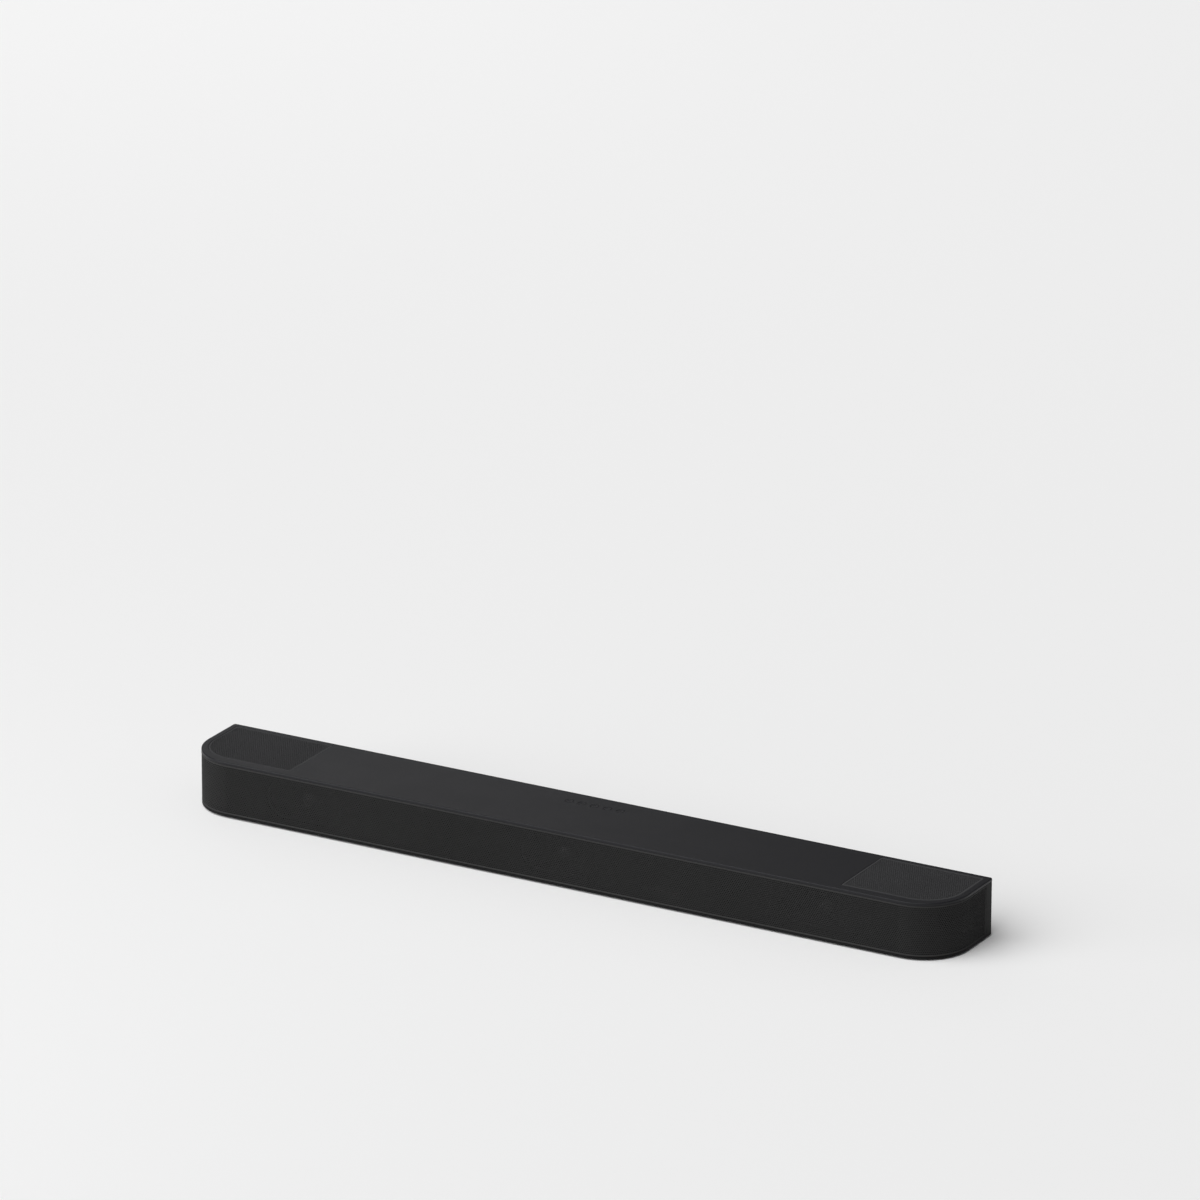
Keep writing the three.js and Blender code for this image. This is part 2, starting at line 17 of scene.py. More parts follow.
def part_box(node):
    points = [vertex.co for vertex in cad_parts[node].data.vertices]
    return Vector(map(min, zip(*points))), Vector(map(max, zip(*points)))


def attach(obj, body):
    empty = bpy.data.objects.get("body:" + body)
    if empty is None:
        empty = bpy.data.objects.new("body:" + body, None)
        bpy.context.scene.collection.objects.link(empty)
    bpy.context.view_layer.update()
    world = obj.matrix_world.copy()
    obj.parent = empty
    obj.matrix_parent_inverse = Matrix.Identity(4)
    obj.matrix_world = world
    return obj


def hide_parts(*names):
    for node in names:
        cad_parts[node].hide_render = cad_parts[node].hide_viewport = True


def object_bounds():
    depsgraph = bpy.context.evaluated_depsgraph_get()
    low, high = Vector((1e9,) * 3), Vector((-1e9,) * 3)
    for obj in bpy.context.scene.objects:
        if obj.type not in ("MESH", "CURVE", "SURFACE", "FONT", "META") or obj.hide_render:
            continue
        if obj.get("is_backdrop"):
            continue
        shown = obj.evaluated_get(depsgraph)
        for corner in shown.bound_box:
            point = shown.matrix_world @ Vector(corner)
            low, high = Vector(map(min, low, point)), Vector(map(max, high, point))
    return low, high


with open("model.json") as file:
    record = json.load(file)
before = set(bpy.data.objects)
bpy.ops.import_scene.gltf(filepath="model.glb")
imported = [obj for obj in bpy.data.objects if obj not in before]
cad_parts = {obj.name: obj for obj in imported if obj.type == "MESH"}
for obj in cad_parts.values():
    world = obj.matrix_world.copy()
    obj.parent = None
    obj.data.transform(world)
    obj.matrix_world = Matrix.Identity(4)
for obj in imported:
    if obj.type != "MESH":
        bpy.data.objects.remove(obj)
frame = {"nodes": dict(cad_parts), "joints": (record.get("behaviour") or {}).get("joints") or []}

MM = 0.001
low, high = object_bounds()
nodes = frame["nodes"]

# %% [markdown]
# ## The camera
# A long lens from far away keeps the bar's edges almost parallel. The camera looks along a direction
# given by two angles, and is moved sideways and up in its own plane, so that the bar keeps its place
# low in the frame.

# %% Camera
AZIMUTH = math.radians(29.39)
ELEVATION = math.radians(19.72)
ROLL = math.radians(0.16)
DISTANCE = 10.762
ASIDE = 0.0205
ABOVE = 0.2953
LENS = 296.45

forward = Vector((
    -math.sin(AZIMUTH) * math.cos(ELEVATION),
    math.cos(AZIMUTH) * math.cos(ELEVATION),
    -math.sin(ELEVATION),
))
level = Vector((math.cos(AZIMUTH), math.sin(AZIMUTH), 0))
upward = level.cross(forward)
right = level * math.cos(ROLL) + upward * math.sin(ROLL)
up = upward * math.cos(ROLL) - level * math.sin(ROLL)

lens = bpy.data.cameras.new("camera")
lens.lens = LENS
lens.sensor_width = 36
lens.clip_end = 100
camera = bpy.data.objects.new("camera", lens)
camera.matrix_world = (
    Matrix.Translation(right * ASIDE + up * ABOVE - forward * DISTANCE)
    @ Matrix((right, up, -forward)).transposed().to_4x4()
)
bpy.context.scene.collection.objects.link(camera)
bpy.context.scene.camera = camera
print("camera at", tuple(round(v, 2) for v in camera.location))

# %% [markdown]
# ## Helpers for meshes
# Each piece starts as an empty bmesh. It is shaped in place, in metres, with bmesh operators, and then
# becomes an object at the origin. An outline is a list of points, where each round stretch is an arc.

# %% Mesh helpers
def arc(centre, radius, start, sweep, steps):
    """Points of an arc in the XY plane. Angles are in degrees."""
    points = []
    for i in range(steps + 1):
        a = math.radians(start + sweep * i / steps)
        points.append((centre[0] + radius * math.cos(a), centre[1] + radius * math.sin(a)))
    return points


def rounded(x0, x1, y0, y1, radii, steps=8):
    """A rectangle with rounded corners: front left, front right, rear right, rear left."""
    corners = ((x0, y0, 1, 1, 180), (x1, y0, -1, 1, 270), (x1, y1, -1, -1, 0), (x0, y1, 1, -1, 90))
    points = []
    for (x, y, in_x, in_y, start), r in zip(corners, radii):
        points += arc((x + in_x * r, y + in_y * r), r, start, 90, steps)
    return points


def plate(bm, outline, z0, z1):
    """Adds a solid plate of the outline, and returns its top face."""
    base = bm.faces.new([bm.verts.new((x, y, z0)) for x, y in outline])
    raised = bmesh.ops.extrude_face_region(bm, geom=[base])["geom"]
    bmesh.ops.translate(
        bm, verts=[g for g in raised if isinstance(g, bmesh.types.BMVert)], vec=(0, 0, z1 - z0)
    )
    bmesh.ops.recalc_face_normals(bm, faces=bm.faces)
    return next(g for g in raised if isinstance(g, bmesh.types.BMFace))


def block(bm, x0, x1, y0, y1, z0, z1):
    """Adds a box between six planes, and returns its vertices."""
    size = Matrix.Diagonal((x1 - x0, y1 - y0, z1 - z0, 1))
    middle = Matrix.Translation(((x0 + x1) / 2, (y0 + y1) / 2, (z0 + z1) / 2))
    return bmesh.ops.create_cube(bm, size=1, matrix=middle @ size)["verts"]


def post(bm, radius, centre, length, axis="Z", segments=24, top_radius=None):
    """Adds a capped cylinder, or a cone, with its middle at centre, and returns its vertices."""
    turn = {
        "X": Matrix.Rotation(math.pi / 2, 4, "Y"), "Y": Matrix.Rotation(-math.pi / 2, 4, "X"), "Z": Matrix()
    }
    made = bmesh.ops.create_cone(
        bm,
        cap_ends=True,
        segments=segments,
        radius1=radius,
        radius2=radius if top_radius is None else top_radius,
        depth=length,
        matrix=Matrix.Translation(centre) @ turn[axis],
    )
    return made["verts"]


def turned(bm, profile, segments=48, straight=0, inner=0, outer=1):
    """Turns a closed profile of (radius, height) points about Z and returns the new vertices. Between the
    radii inner and outer it is pulled apart along X, up to straight on each side, into a racetrack."""
    start = Matrix.Rotation(math.pi / segments, 4, "Z")
    loop = [bm.verts.new(start @ Vector((r, 0, z))) for r, z in profile]
    edges = [bm.edges.new((a, b)) for a, b in zip(loop, loop[1:] + loop[:1])]
    before = set(bm.verts) - set(loop)
    bmesh.ops.spin(bm, geom=loop + edges, cent=(0, 0, 0), axis=(0, 0, 1), angle=2 * math.pi, steps=segments)
    made = [v for v in bm.verts if v not in before]
    bmesh.ops.remove_doubles(bm, verts=made, dist=0.002 * MM)
    made = [v for v in bm.verts if v not in before]
    for v in made:
        share = min(max((v.co.xy.length - inner) / (outer - inner), 0), 1)
        v.co.x += math.copysign(straight * share, v.co.x) if abs(v.co.x) > 0.001 * MM else 0
    bmesh.ops.recalc_face_normals(bm, faces=bm.faces)
    return made


def rim_bevel(bm, edges, width, segments=3):
    bmesh.ops.bevel(
        bm, geom=edges, offset=width, offset_type="OFFSET", segments=segments, profile=0.5, affect="EDGES",
        material=-1
    )


def sharp_bevel(bm, width, segments=2, angle=35):
    """Rounds every edge that is sharper than the angle."""
    sharp = [e for e in bm.edges if len(e.link_faces) == 2 and e.calc_face_angle(0) > math.radians(angle)]
    rim_bevel(bm, sharp, width, segments)


def make_object(name, bm, smooth=35):
    """Turns a bmesh into an object, with smooth shading across edges flatter than the angle."""
    mesh = bpy.data.meshes.new(name)
    bm.to_mesh(mesh)
    bm.free()
    if smooth:
        mesh.shade_smooth()
        mesh.set_sharp_from_angle(angle=math.radians(smooth))
    made = bpy.data.objects.new(name, mesh)
    bpy.context.scene.collection.objects.link(made)
    return made


def cut_with(target, name, shape):
    """Cuts a shape out of an object. shape fills a bmesh with closed solids that don't touch."""
    bm = bmesh.new()
    shape(bm)
    tool = make_object(name, bm, smooth=0)
    cut = target.modifiers.new("cut", "BOOLEAN")
    cut.operation = "DIFFERENCE"
    cut.solver = "EXACT"
    cut.object = tool
    bake_modifiers(target)
    bpy.data.objects.remove(tool)
    return target


def bake_modifiers(target):
    """Replaces an object's mesh by what its modifiers make of it."""
    graph = bpy.context.evaluated_depsgraph_get()
    result = bpy.data.meshes.new_from_object(target.evaluated_get(graph), depsgraph=graph)
    target.modifiers.clear()
    old = target.data
    target.data = result
    bpy.data.meshes.remove(old)
    result.name = target.name
    return target


def soften(target, width, segments=2, angle=35):
    """Rounds the sharp edges of a finished object and shades it smoothly."""
    edge = target.modifiers.new("soft edges", "BEVEL")
    edge.width = width
    edge.segments = segments
    edge.limit_method = "ANGLE"
    edge.angle_limit = math.radians(angle)
    bake_modifiers(target)
    return smooth_flats(target, angle)


def smooth_flats(target, angle=35):
    """Smooth shading that keeps the broad flat faces flat, by weighting each normal by its face's area."""
    target.data.shade_smooth()
    target.data.set_sharp_from_angle(angle=math.radians(angle))
    weigh = target.modifiers.new("flat faces", "WEIGHTED_NORMAL")
    weigh.keep_sharp = True
    weigh.weight = 100
    return bake_modifiers(target)


def softened_copy(node, name, width, segments=2, angle=35):
    """A copy of an engineering node, with its loose triangles merged into faces and its edges rounded."""
    bm = bmesh.new()
    bm.from_mesh(nodes[node].data)
    bmesh.ops.remove_doubles(bm, verts=bm.verts, dist=0.001 * MM)
    bmesh.ops.dissolve_limit(bm, angle_limit=math.radians(0.5), verts=bm.verts, edges=bm.edges)
    copy = make_object(name, bm, smooth=0)
    return soften(copy, width, segments, angle)


def piece(target, body, slot, material, *replaced):
    """Gives a piece its body and its material, and hides the nodes it stands for. Its slot is not used."""
    target.data.materials.clear()
    target.data.materials.append(material)
    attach(target, body)
    if replaced:
        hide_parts(*replaced)
    return target


print("mesh helpers ready")

# %% [markdown]
# ## Shared shading effects
# Several finishes share the same small effects, so each effect is a node group with named inputs:
# a moulded grain, a thin layer of dust on faces that look up, and smudges that change the gloss.
# A group puts out only values and colours, and the shader itself stays in each material.

# %% Node helpers and groups
def add(tree, kind, inputs=None, **settings):
    """Adds a node. An input given as a socket is linked, and any other is a plain value."""
    made = tree.nodes.new(kind)
    for key, value in settings.items():
        setattr(made, key, value)
    for key, value in (inputs or {}).items():
        if isinstance(value, bpy.types.NodeSocket):
            tree.links.new(value, made.inputs[key])
        else:
            made.inputs[key].default_value = value
    return made


def new_group(name, inputs, outputs):
    """A node group with named inputs and outputs: {name: (kind, default)} and {name: kind}."""
    tree = bpy.data.node_groups.new(name, "ShaderNodeTree")
    for key, (kind, default) in inputs.items():
        tree.interface.new_socket(name=key, in_out="INPUT", socket_type=kind).default_value = default
    for key, kind in outputs.items():
        tree.interface.new_socket(name=key, in_out="OUTPUT", socket_type=kind)
    return tree, tree.nodes.new("NodeGroupInput").outputs, tree.nodes.new("NodeGroupOutput").inputs


FLOAT = "NodeSocketFloat"


def grain_group():
    """Fine moulded grain: two sizes of noise as a height, and a slow change of tone."""
    tree, given, out = new_group(
        "moulded_grain",
        {"Size": (FLOAT, 0.6), "Tone Change": (FLOAT, 0.1)},
        {"Height": FLOAT, "Tone": FLOAT},
    )
    place = add(tree, "ShaderNodeTexCoord").outputs["Object"]
    cells = add(tree, "ShaderNodeMath", {0: 1000.0, 1: given["Size"]}, operation="DIVIDE").outputs[0]
    fine = add(tree, "ShaderNodeTexNoise", {"Vector": place, "Scale": cells, "Detail": 2.0})
    pits = add(tree, "ShaderNodeTexVoronoi", {"Vector": place, "Scale": cells})
    height = add(
        tree, "ShaderNodeMath", {0: fine.outputs["Fac"], 1: pits.outputs["Distance"]}, operation="ADD"
    )
    slow = add(tree, "ShaderNodeTexNoise", {"Vector": place, "Scale": 9.0, "Detail": 3.0})
    span = add(tree, "ShaderNodeMath", {0: slow.outputs["Fac"], 1: 0.5}, operation="SUBTRACT")
    tone = add(
        tree, "ShaderNodeMath", {0: span.outputs[0], 1: given["Tone Change"], 2: 1.0},
        operation="MULTIPLY_ADD"
    )
    tree.links.new(height.outputs[0], out["Height"])
    tree.links.new(tone.outputs[0], out["Tone"])
    return tree


def dust_group():
    """A mask of settled dust: more on faces that look up, broken up by specks."""
    tree, given, out = new_group("settled_dust", {"Amount": (FLOAT, 0.3)}, {"Mask": FLOAT})
    place = add(tree, "ShaderNodeTexCoord").outputs["Object"]
    normal = add(tree, "ShaderNodeNewGeometry").outputs["Normal"]
    height = add(tree, "ShaderNodeSeparateXYZ", {"Vector": normal}).outputs["Z"]
    facing = add(
        tree, "ShaderNodeMapRange", {"Value": height, "From Min": 0.5, "From Max": 1.0}
    ).outputs["Result"]
    cloud = add(tree, "ShaderNodeTexNoise", {"Vector": place, "Scale": 30.0, "Detail": 5.0}).outputs["Fac"]
    speck = add(tree, "ShaderNodeTexNoise", {"Vector": place, "Scale": 900.0, "Detail": 1.0}).outputs["Fac"]
    spots = add(
        tree, "ShaderNodeMapRange", {"Value": speck, "From Min": 0.62, "From Max": 0.7}
    ).outputs["Result"]
    both = add(tree, "ShaderNodeMath", {0: cloud, 1: spots}, operation="MULTIPLY").outputs[0]
    lying = add(tree, "ShaderNodeMath", {0: both, 1: facing}, operation="MULTIPLY").outputs[0]
    mask = add(tree, "ShaderNodeMath", {0: lying, 1: given["Amount"]}, operation="MULTIPLY").outputs[0]
    tree.links.new(mask, out["Mask"])
    return tree


def smudge_group():
    """Roughness that wanders round a middle value, as handled surfaces do."""
    tree, given, out = new_group(
        "smudges", {"Roughness": (FLOAT, 0.5), "Spread": (FLOAT, 0.08), "Scale": (FLOAT, 14.0)},
        {"Roughness": FLOAT}
    )
    place = add(tree, "ShaderNodeTexCoord").outputs["Object"]
    noise = add(
        tree, "ShaderNodeTexNoise",
        {"Vector": place, "Scale": given["Scale"], "Detail": 4.0, "Distortion": 0.6}
    )
    span = add(tree, "ShaderNodeMath", {0: noise.outputs["Fac"], 1: 0.5}, operation="SUBTRACT").outputs[0]
    value = add(
        tree, "ShaderNodeMath", {0: span, 1: given["Spread"], 2: given["Roughness"]},
        operation="MULTIPLY_ADD"
    )
    tree.links.new(value.outputs[0], out["Roughness"])
    return tree


def track_group():
    """Masks for a circuit board: straight copper tracks, and small round pads."""
    tree, given, out = new_group("circuit_tracks", {"Pitch": (FLOAT, 2.2)}, {"Track": FLOAT, "Pad": FLOAT})
    place = add(tree, "ShaderNodeTexCoord").outputs["Object"]
    cells = add(tree, "ShaderNodeMath", {0: 1000.0, 1: given["Pitch"]}, operation="DIVIDE").outputs[0]
    lines = add(
        tree, "ShaderNodeTexVoronoi", {"Vector": place, "Scale": cells, "Randomness": 0.8}, feature="F1",
        distance="CHEBYCHEV"
    )
    edge = add(
        tree, "ShaderNodeMath", {0: lines.outputs["Distance"], 1: 0.34, 2: 0.05}, operation="COMPARE"
    ).outputs[0]
    dots = add(tree, "ShaderNodeTexVoronoi", {"Vector": place, "Scale": cells, "Randomness": 0.9})
    pad = add(
        tree, "ShaderNodeMath", {0: dots.outputs["Distance"], 1: 0.16}, operation="LESS_THAN"
    ).outputs[0]
    tree.links.new(edge, out["Track"])
    tree.links.new(pad, out["Pad"])
    return tree


GRAIN = grain_group()
DUST = dust_group()
SMUDGES = smudge_group()
TRACKS = track_group()
print("node groups:", [g.name for g in bpy.data.node_groups])

# %% [markdown]
# ## Finishes
# Every finish is a plain shader with the groups above. The grain's size is in millimetres, so that it
# has its real scale on each piece. What differs between finishes is named where the finish is made.

# %% Finish helper
def finish(
    name, color, roughness=0.5, metallic=0.0, specular=0.5,
    grain=0.6, bump=0.02, tone=0.15, spread=0.1, dust=0.0, coat=0.0,
):
    """A grained surface. grain is in millimetres, and bump is the grain's depth in millimetres."""
    material = bpy.data.materials.new(name)
    material.use_nodes = True
    tree = material.node_tree
    shader = tree.nodes["Principled BSDF"]
    shader.inputs["Metallic"].default_value = metallic
    shader.inputs["Specular IOR Level"].default_value = specular
    shader.inputs["Coat Weight"].default_value = coat
    texture = add(tree, "ShaderNodeGroup", node_tree=GRAIN)
    texture.inputs["Size"].default_value = grain
    texture.inputs["Tone Change"].default_value = tone * 2
    rough = add(tree, "ShaderNodeGroup", node_tree=SMUDGES)
    rough.inputs["Roughness"].default_value = roughness
    rough.inputs["Spread"].default_value = spread * 2
    base = add(
        tree, "ShaderNodeVectorMath", {0: (*color,), "Scale": texture.outputs["Tone"]}, operation="SCALE"
    ).outputs[0]
    if dust:
        settled = add(tree, "ShaderNodeGroup", node_tree=DUST)
        settled.inputs["Amount"].default_value = dust
        mixed = add(tree, "ShaderNodeMix", {"Factor": settled.outputs["Mask"]}, data_type="RGBA")
        tree.links.new(base, mixed.inputs["A"])
        mixed.inputs["B"].default_value = (0.35, 0.33, 0.31, 1)
        base = mixed.outputs["Result"]
    tree.links.new(base, shader.inputs["Base Color"])
    tree.links.new(rough.outputs["Roughness"], shader.inputs["Roughness"])
    relief = add(tree, "ShaderNodeBump", {"Distance": bump * MM, "Height": texture.outputs["Height"]})
    tree.links.new(relief.outputs["Normal"], shader.inputs["Normal"])
    return material


def circuit_finish():
    """A circuit board: tracks show through the green mask, and bare pads are tinned."""
    material = finish("circuit_board", (0.012, 0.075, 0.035), roughness=0.35, grain=0.4, bump=0.004)
    tree = material.node_tree
    shader = tree.nodes["Principled BSDF"]
    marks = add(tree, "ShaderNodeGroup", node_tree=TRACKS)
    plain = shader.inputs["Base Color"].links[0].from_socket
    lines = add(tree, "ShaderNodeMix", {"Factor": marks.outputs["Track"]}, data_type="RGBA")
    tree.links.new(plain, lines.inputs["A"])
    lines.inputs["B"].default_value = (0.03, 0.17, 0.07, 1)
    pads = add(tree, "ShaderNodeMix", {"Factor": marks.outputs["Pad"]}, data_type="RGBA")
    tree.links.new(lines.outputs["Result"], pads.inputs["A"])
    pads.inputs["B"].default_value = (0.6, 0.6, 0.58, 1)
    tree.links.new(pads.outputs["Result"], shader.inputs["Base Color"])
    tree.links.new(marks.outputs["Pad"], shader.inputs["Metallic"])
    return material


TOP_PANEL = finish(
    "satin_top", (0.0084, 0.0084, 0.0104), roughness=0.42, specular=0.23,
    grain=0.35, bump=0.005, tone=0.06, spread=0.03, dust=0.03,
)
CABINET = finish(
    "cabinet_plastic", (0.006, 0.006, 0.0063), roughness=0.55, specular=0.12, grain=0.7, bump=0.03
)
SHEET_STEEL = finish(
    "powder_coat", (0.032, 0.032, 0.032), roughness=0.6, specular=0.08, grain=0.25, bump=0.01
)
# The end grilles take a lighter copy of the front sheet's powder coat: the extra lightness is painted light,
# standing in for the light their upward faces catch.
END_STEEL_PAINTED_LIGHT = finish(
    "powder_coat_painted_light", (0.052, 0.052, 0.054), roughness=0.6, specular=0.08, grain=0.25, bump=0.01
)
MOULDING = finish(
    "inner_moulding", (0.010, 0.010, 0.010), roughness=0.6, specular=0.3, grain=0.8, bump=0.02
)
RUBBER = finish("foot_rubber", (0.014, 0.014, 0.014), roughness=0.85, grain=0.5, bump=0.02)
KEY_CAP = finish("key_cap", (0.0084, 0.0084, 0.0104), roughness=0.4, specular=0.23, grain=0.35, bump=0.004)
BASKET_PAINT = finish("basket_paint", (0.03, 0.03, 0.032), roughness=0.45, grain=0.3, bump=0.01)
ZINC = finish("zinc_plate", (0.55, 0.56, 0.58), roughness=0.35, metallic=1.0, grain=0.5, bump=0.004)
FERRITE = finish("ferrite", (0.035, 0.036, 0.04), roughness=0.55, grain=0.3, bump=0.01)
SURROUND = finish("surround_rubber", (0.012, 0.012, 0.013), roughness=0.5, grain=0.3, bump=0.004)
CONE = finish(
    "pressed_cone", (0.022, 0.022, 0.023), roughness=0.7, specular=0.3, grain=1.1, bump=0.03, tone=0.3
)
DUST_CAP = finish("dust_cap", (0.05, 0.05, 0.053), roughness=0.35, grain=0.4, bump=0.004)
COPPER = finish("coil_copper", (0.72, 0.32, 0.16), roughness=0.35, metallic=1.0, grain=0.3, bump=0.01)
SPIDER_CLOTH = finish(
    "spider_cloth", (0.42, 0.25, 0.09), roughness=0.85, specular=0.2, grain=0.5, bump=0.06
)
CHIP = finish("chip_resin", (0.02, 0.02, 0.021), roughness=0.5, grain=0.2, bump=0.004)
SLEEVE = finish("capacitor_sleeve", (0.015, 0.017, 0.03), roughness=0.3, grain=0.4, bump=0.002)
ALUMINIUM = finish(
    "extruded_aluminium", (0.72, 0.73, 0.74), roughness=0.4, metallic=1.0, grain=0.4, bump=0.004
)
TAPE = finish("insulating_tape", (0.62, 0.42, 0.06), roughness=0.35, grain=1.2, bump=0.006)
PLATED = finish("plated_shell", (0.6, 0.6, 0.61), roughness=0.28, metallic=1.0, grain=0.5, bump=0.002)
GOLD = finish("gold_contact", (0.85, 0.6, 0.22), roughness=0.25, metallic=1.0, grain=0.5, bump=0.001)
SOCKET_PLASTIC = finish("socket_plastic", (0.014, 0.014, 0.014), roughness=0.45, grain=0.4, bump=0.004)
SCREW_STEEL = finish(
    "black_screw", (0.05, 0.05, 0.052), roughness=0.35, metallic=0.8, grain=0.3, bump=0.004
)
WHITE_PLASTIC = finish("white_connector", (0.7, 0.68, 0.6), roughness=0.5, grain=0.6, bump=0.004)
SMOKED_LENS = finish("smoked_lens", (0.03, 0.008, 0.008), roughness=0.12, grain=0.6, bump=0.001, coat=0.5)
CIRCUIT = circuit_finish()
BLACK_BOARD = finish("black_board", (0.008, 0.008, 0.008), roughness=0.5, grain=0.4, bump=0.004)
print("finishes:", len(bpy.data.materials))

# %% [markdown]
# ## The bar's outline
# One outline rules the cover, the punched sheet and the cabinet: straight front, two quarter circles of
# 55 mm at the front corners, straight sides and a straight rear. The sheet is easiest to make flat and
# then wrapped, so a second helper maps a place on the unrolled sheet to its place on the bar.

# %% Outline and wrap
CORNER = 55 * MM
REAR_CORNER = 3 * MM
FRONT_Y = low.y
REAR_Y = high.y
RIGHT_X = high.x
TOP_Z = high.z
STRAIGHT = RIGHT_X - CORNER
QUARTER = CORNER * math.pi / 2


def plan_outline(inset, steps=28):
    front, rear = CORNER - inset, max(REAR_CORNER - inset, 1 * MM)
    x = RIGHT_X - inset
    return rounded(-x, x, FRONT_Y + inset, REAR_Y - inset, (front, front, rear, rear), steps)


def wrap(place):
    """Maps (along the sheet, depth into the bar, height) to its place on the wrapped sheet."""
    along, depth, height = place
    side = math.copysign(1, along)
    past = abs(along) - STRAIGHT
    if past <= 0:
        return Vector((along, FRONT_Y + depth, height))
    if past <= QUARTER:
        a = past / CORNER
        r = CORNER - depth
        return Vector((side * (STRAIGHT + r * math.sin(a)), FRONT_Y + CORNER - r * math.cos(a), height))
    return Vector((side * (RIGHT_X - depth), FRONT_Y + CORNER + past - QUARTER, height))


sheet_low, sheet_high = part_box("front_grille")
HALF_SHEET = STRAIGHT + QUARTER + sheet_high.y - (FRONT_Y + CORNER)
print("the unrolled front sheet is", round(2 * HALF_SHEET, 4), "m long")

# %% [markdown]
# ## Punched sheet
# A punched sheet is thousands of equal holes. One cell is made: a six-sided hole inside a six-sided
# tile. Two cells make a unit that repeats in both directions, two Array modifiers lay the units out, and
# Solidify gives the sheet its thickness. Six sides are enough for a hole of a millimetre and a half, and
# they keep each stretch of sheet light enough to handle.

# %% Punched sheet helper
PITCH = 2.4 * MM
HOLE = 1.55 * MM
ROW = PITCH * math.sqrt(3) / 2


def cell(bm, centre_x, centre_y):
    """One flat tile with its hole."""
    matrix = Matrix.Translation((centre_x, centre_y, 0)) @ Matrix.Rotation(math.radians(30), 4, "Z")
    hole = bmesh.ops.create_circle(bm, segments=6, radius=HOLE / math.sqrt(3), matrix=matrix)["verts"]
    ring = {e for v in hole for e in v.link_edges}
    grown = bmesh.ops.extrude_edge_only(bm, edges=list(ring))["geom"]
    outer = [g for g in grown if isinstance(g, bmesh.types.BMVert)]
    factor = PITCH / HOLE
    bmesh.ops.scale(
        bm, vec=(factor, factor, 1), verts=outer, space=Matrix.Translation((-centre_x, -centre_y, 0))
    )


def punched_field(name, columns, double_rows):
    """A flat field of cells, from the origin towards +X and +Y."""
    bm = bmesh.new()
    cell(bm, PITCH / 2, ROW / 2)
    cell(bm, PITCH, ROW * 1.5)
    field = make_object(name, bm, smooth=0)
    for count, step in ((columns, (PITCH, 0, 0)), (double_rows, (0, 2 * ROW, 0))):
        rows = field.modifiers.new("repeat", "ARRAY")
        rows.count = count
        rows.use_relative_offset = False
        rows.use_constant_offset = True
        rows.constant_offset_displace = step
        rows.use_merge_vertices = True
        rows.merge_threshold = 0.02 * MM
    return bake_modifiers(field)


def thicken(target, thickness):
    """The cells face -Z, so offset 1 adds the thickness below them and the outer side stays where it is."""
    wall = target.modifiers.new("thickness", "SOLIDIFY")
    wall.thickness = thickness
    wall.offset = 1
    return bake_modifiers(target)


print("hole share of the sheet:", round((HOLE / PITCH) ** 2, 2))

# %% [markdown]
# ## Front grille
# The front sheet is over a metre long when it is unrolled, so it is made in three stretches that meet
# edge to edge. Each is laid out flat, thickened, stood up and wrapped round the outline. A folded hem
# along all four edges hides where the holes stop, as it does on the real sheet.

# %% Front grille
SHEET = 0.8 * MM
HEM = 1.3 * MM
HEM_HEIGHT = 2.0 * MM
STRETCHES = ("left", "middle", "right")

columns = int((2 * HALF_SHEET - HEM_HEIGHT) / PITCH / 3)
double_rows = int((sheet_high.z - sheet_low.z - HEM_HEIGHT) / (2 * ROW))
start_x = -columns * 1.5 * PITCH - PITCH / 4
start_z = (sheet_high.z + sheet_low.z) / 2 - double_rows * ROW

for i, stretch in enumerate(STRETCHES):
    field = thicken(punched_field("grille_" + stretch, columns, double_rows), SHEET)
    bm = bmesh.new()
    bm.from_mesh(field.data)
    shift = start_x + i * columns * PITCH
    for v in bm.verts:
        v.co = wrap((v.co.x + shift, 0.15 * MM - v.co.z, v.co.y + start_z))
    bmesh.ops.recalc_face_normals(bm, faces=bm.faces)
    bm.to_mesh(field.data)
    bm.free()
    piece(field, "cabinet", "grille_mesh", SHEET_STEEL, "front_grille")
    print(field.name, len(field.data.polygons), "faces")


def wrapped_strip(name, profile):
    """Sweeps a closed profile of (depth, height) points round the outline, from rear end to rear end."""
    bm = bmesh.new()
    start = [bm.verts.new((RIGHT_X - d, sheet_high.y, z)) for d, z in profile]
    face = bm.faces.new(start)
    ring = list(face.edges)

    def draw(edges, offset):
        new = bmesh.ops.extrude_edge_only(bm, edges=edges)["geom"]
        bmesh.ops.translate(bm, verts=[g for g in new if isinstance(g, bmesh.types.BMVert)], vec=offset)
        return [g for g in new if isinstance(g, bmesh.types.BMEdge) and len(g.link_faces) == 1]

    def turn(edges, centre):
        swept = bmesh.ops.spin(
            bm, geom=edges, cent=centre, axis=(0, 0, 1), angle=-math.pi / 2, steps=24, use_duplicate=False
        )["geom_last"]
        return [g for g in swept if isinstance(g, bmesh.types.BMEdge)]

    ring = draw(ring, (0, FRONT_Y + CORNER - sheet_high.y, 0))
    ring = turn(ring, (STRAIGHT, FRONT_Y + CORNER, 0))
    ring = draw(ring, (-2 * STRAIGHT, 0, 0))
    ring = turn(ring, (-STRAIGHT, FRONT_Y + CORNER, 0))
    ring = draw(ring, (0, sheet_high.y - FRONT_Y - CORNER, 0))
    bmesh.ops.contextual_create(bm, geom=ring)
    bmesh.ops.remove_doubles(bm, verts=bm.verts, dist=0.001 * MM)
    bmesh.ops.recalc_face_normals(bm, faces=bm.faces)
    return make_object(name, bm)


def hem_profile(z0, z1):
    return rounded(0, HEM, z0, z1, (0.35 * MM,) * 4, 3)


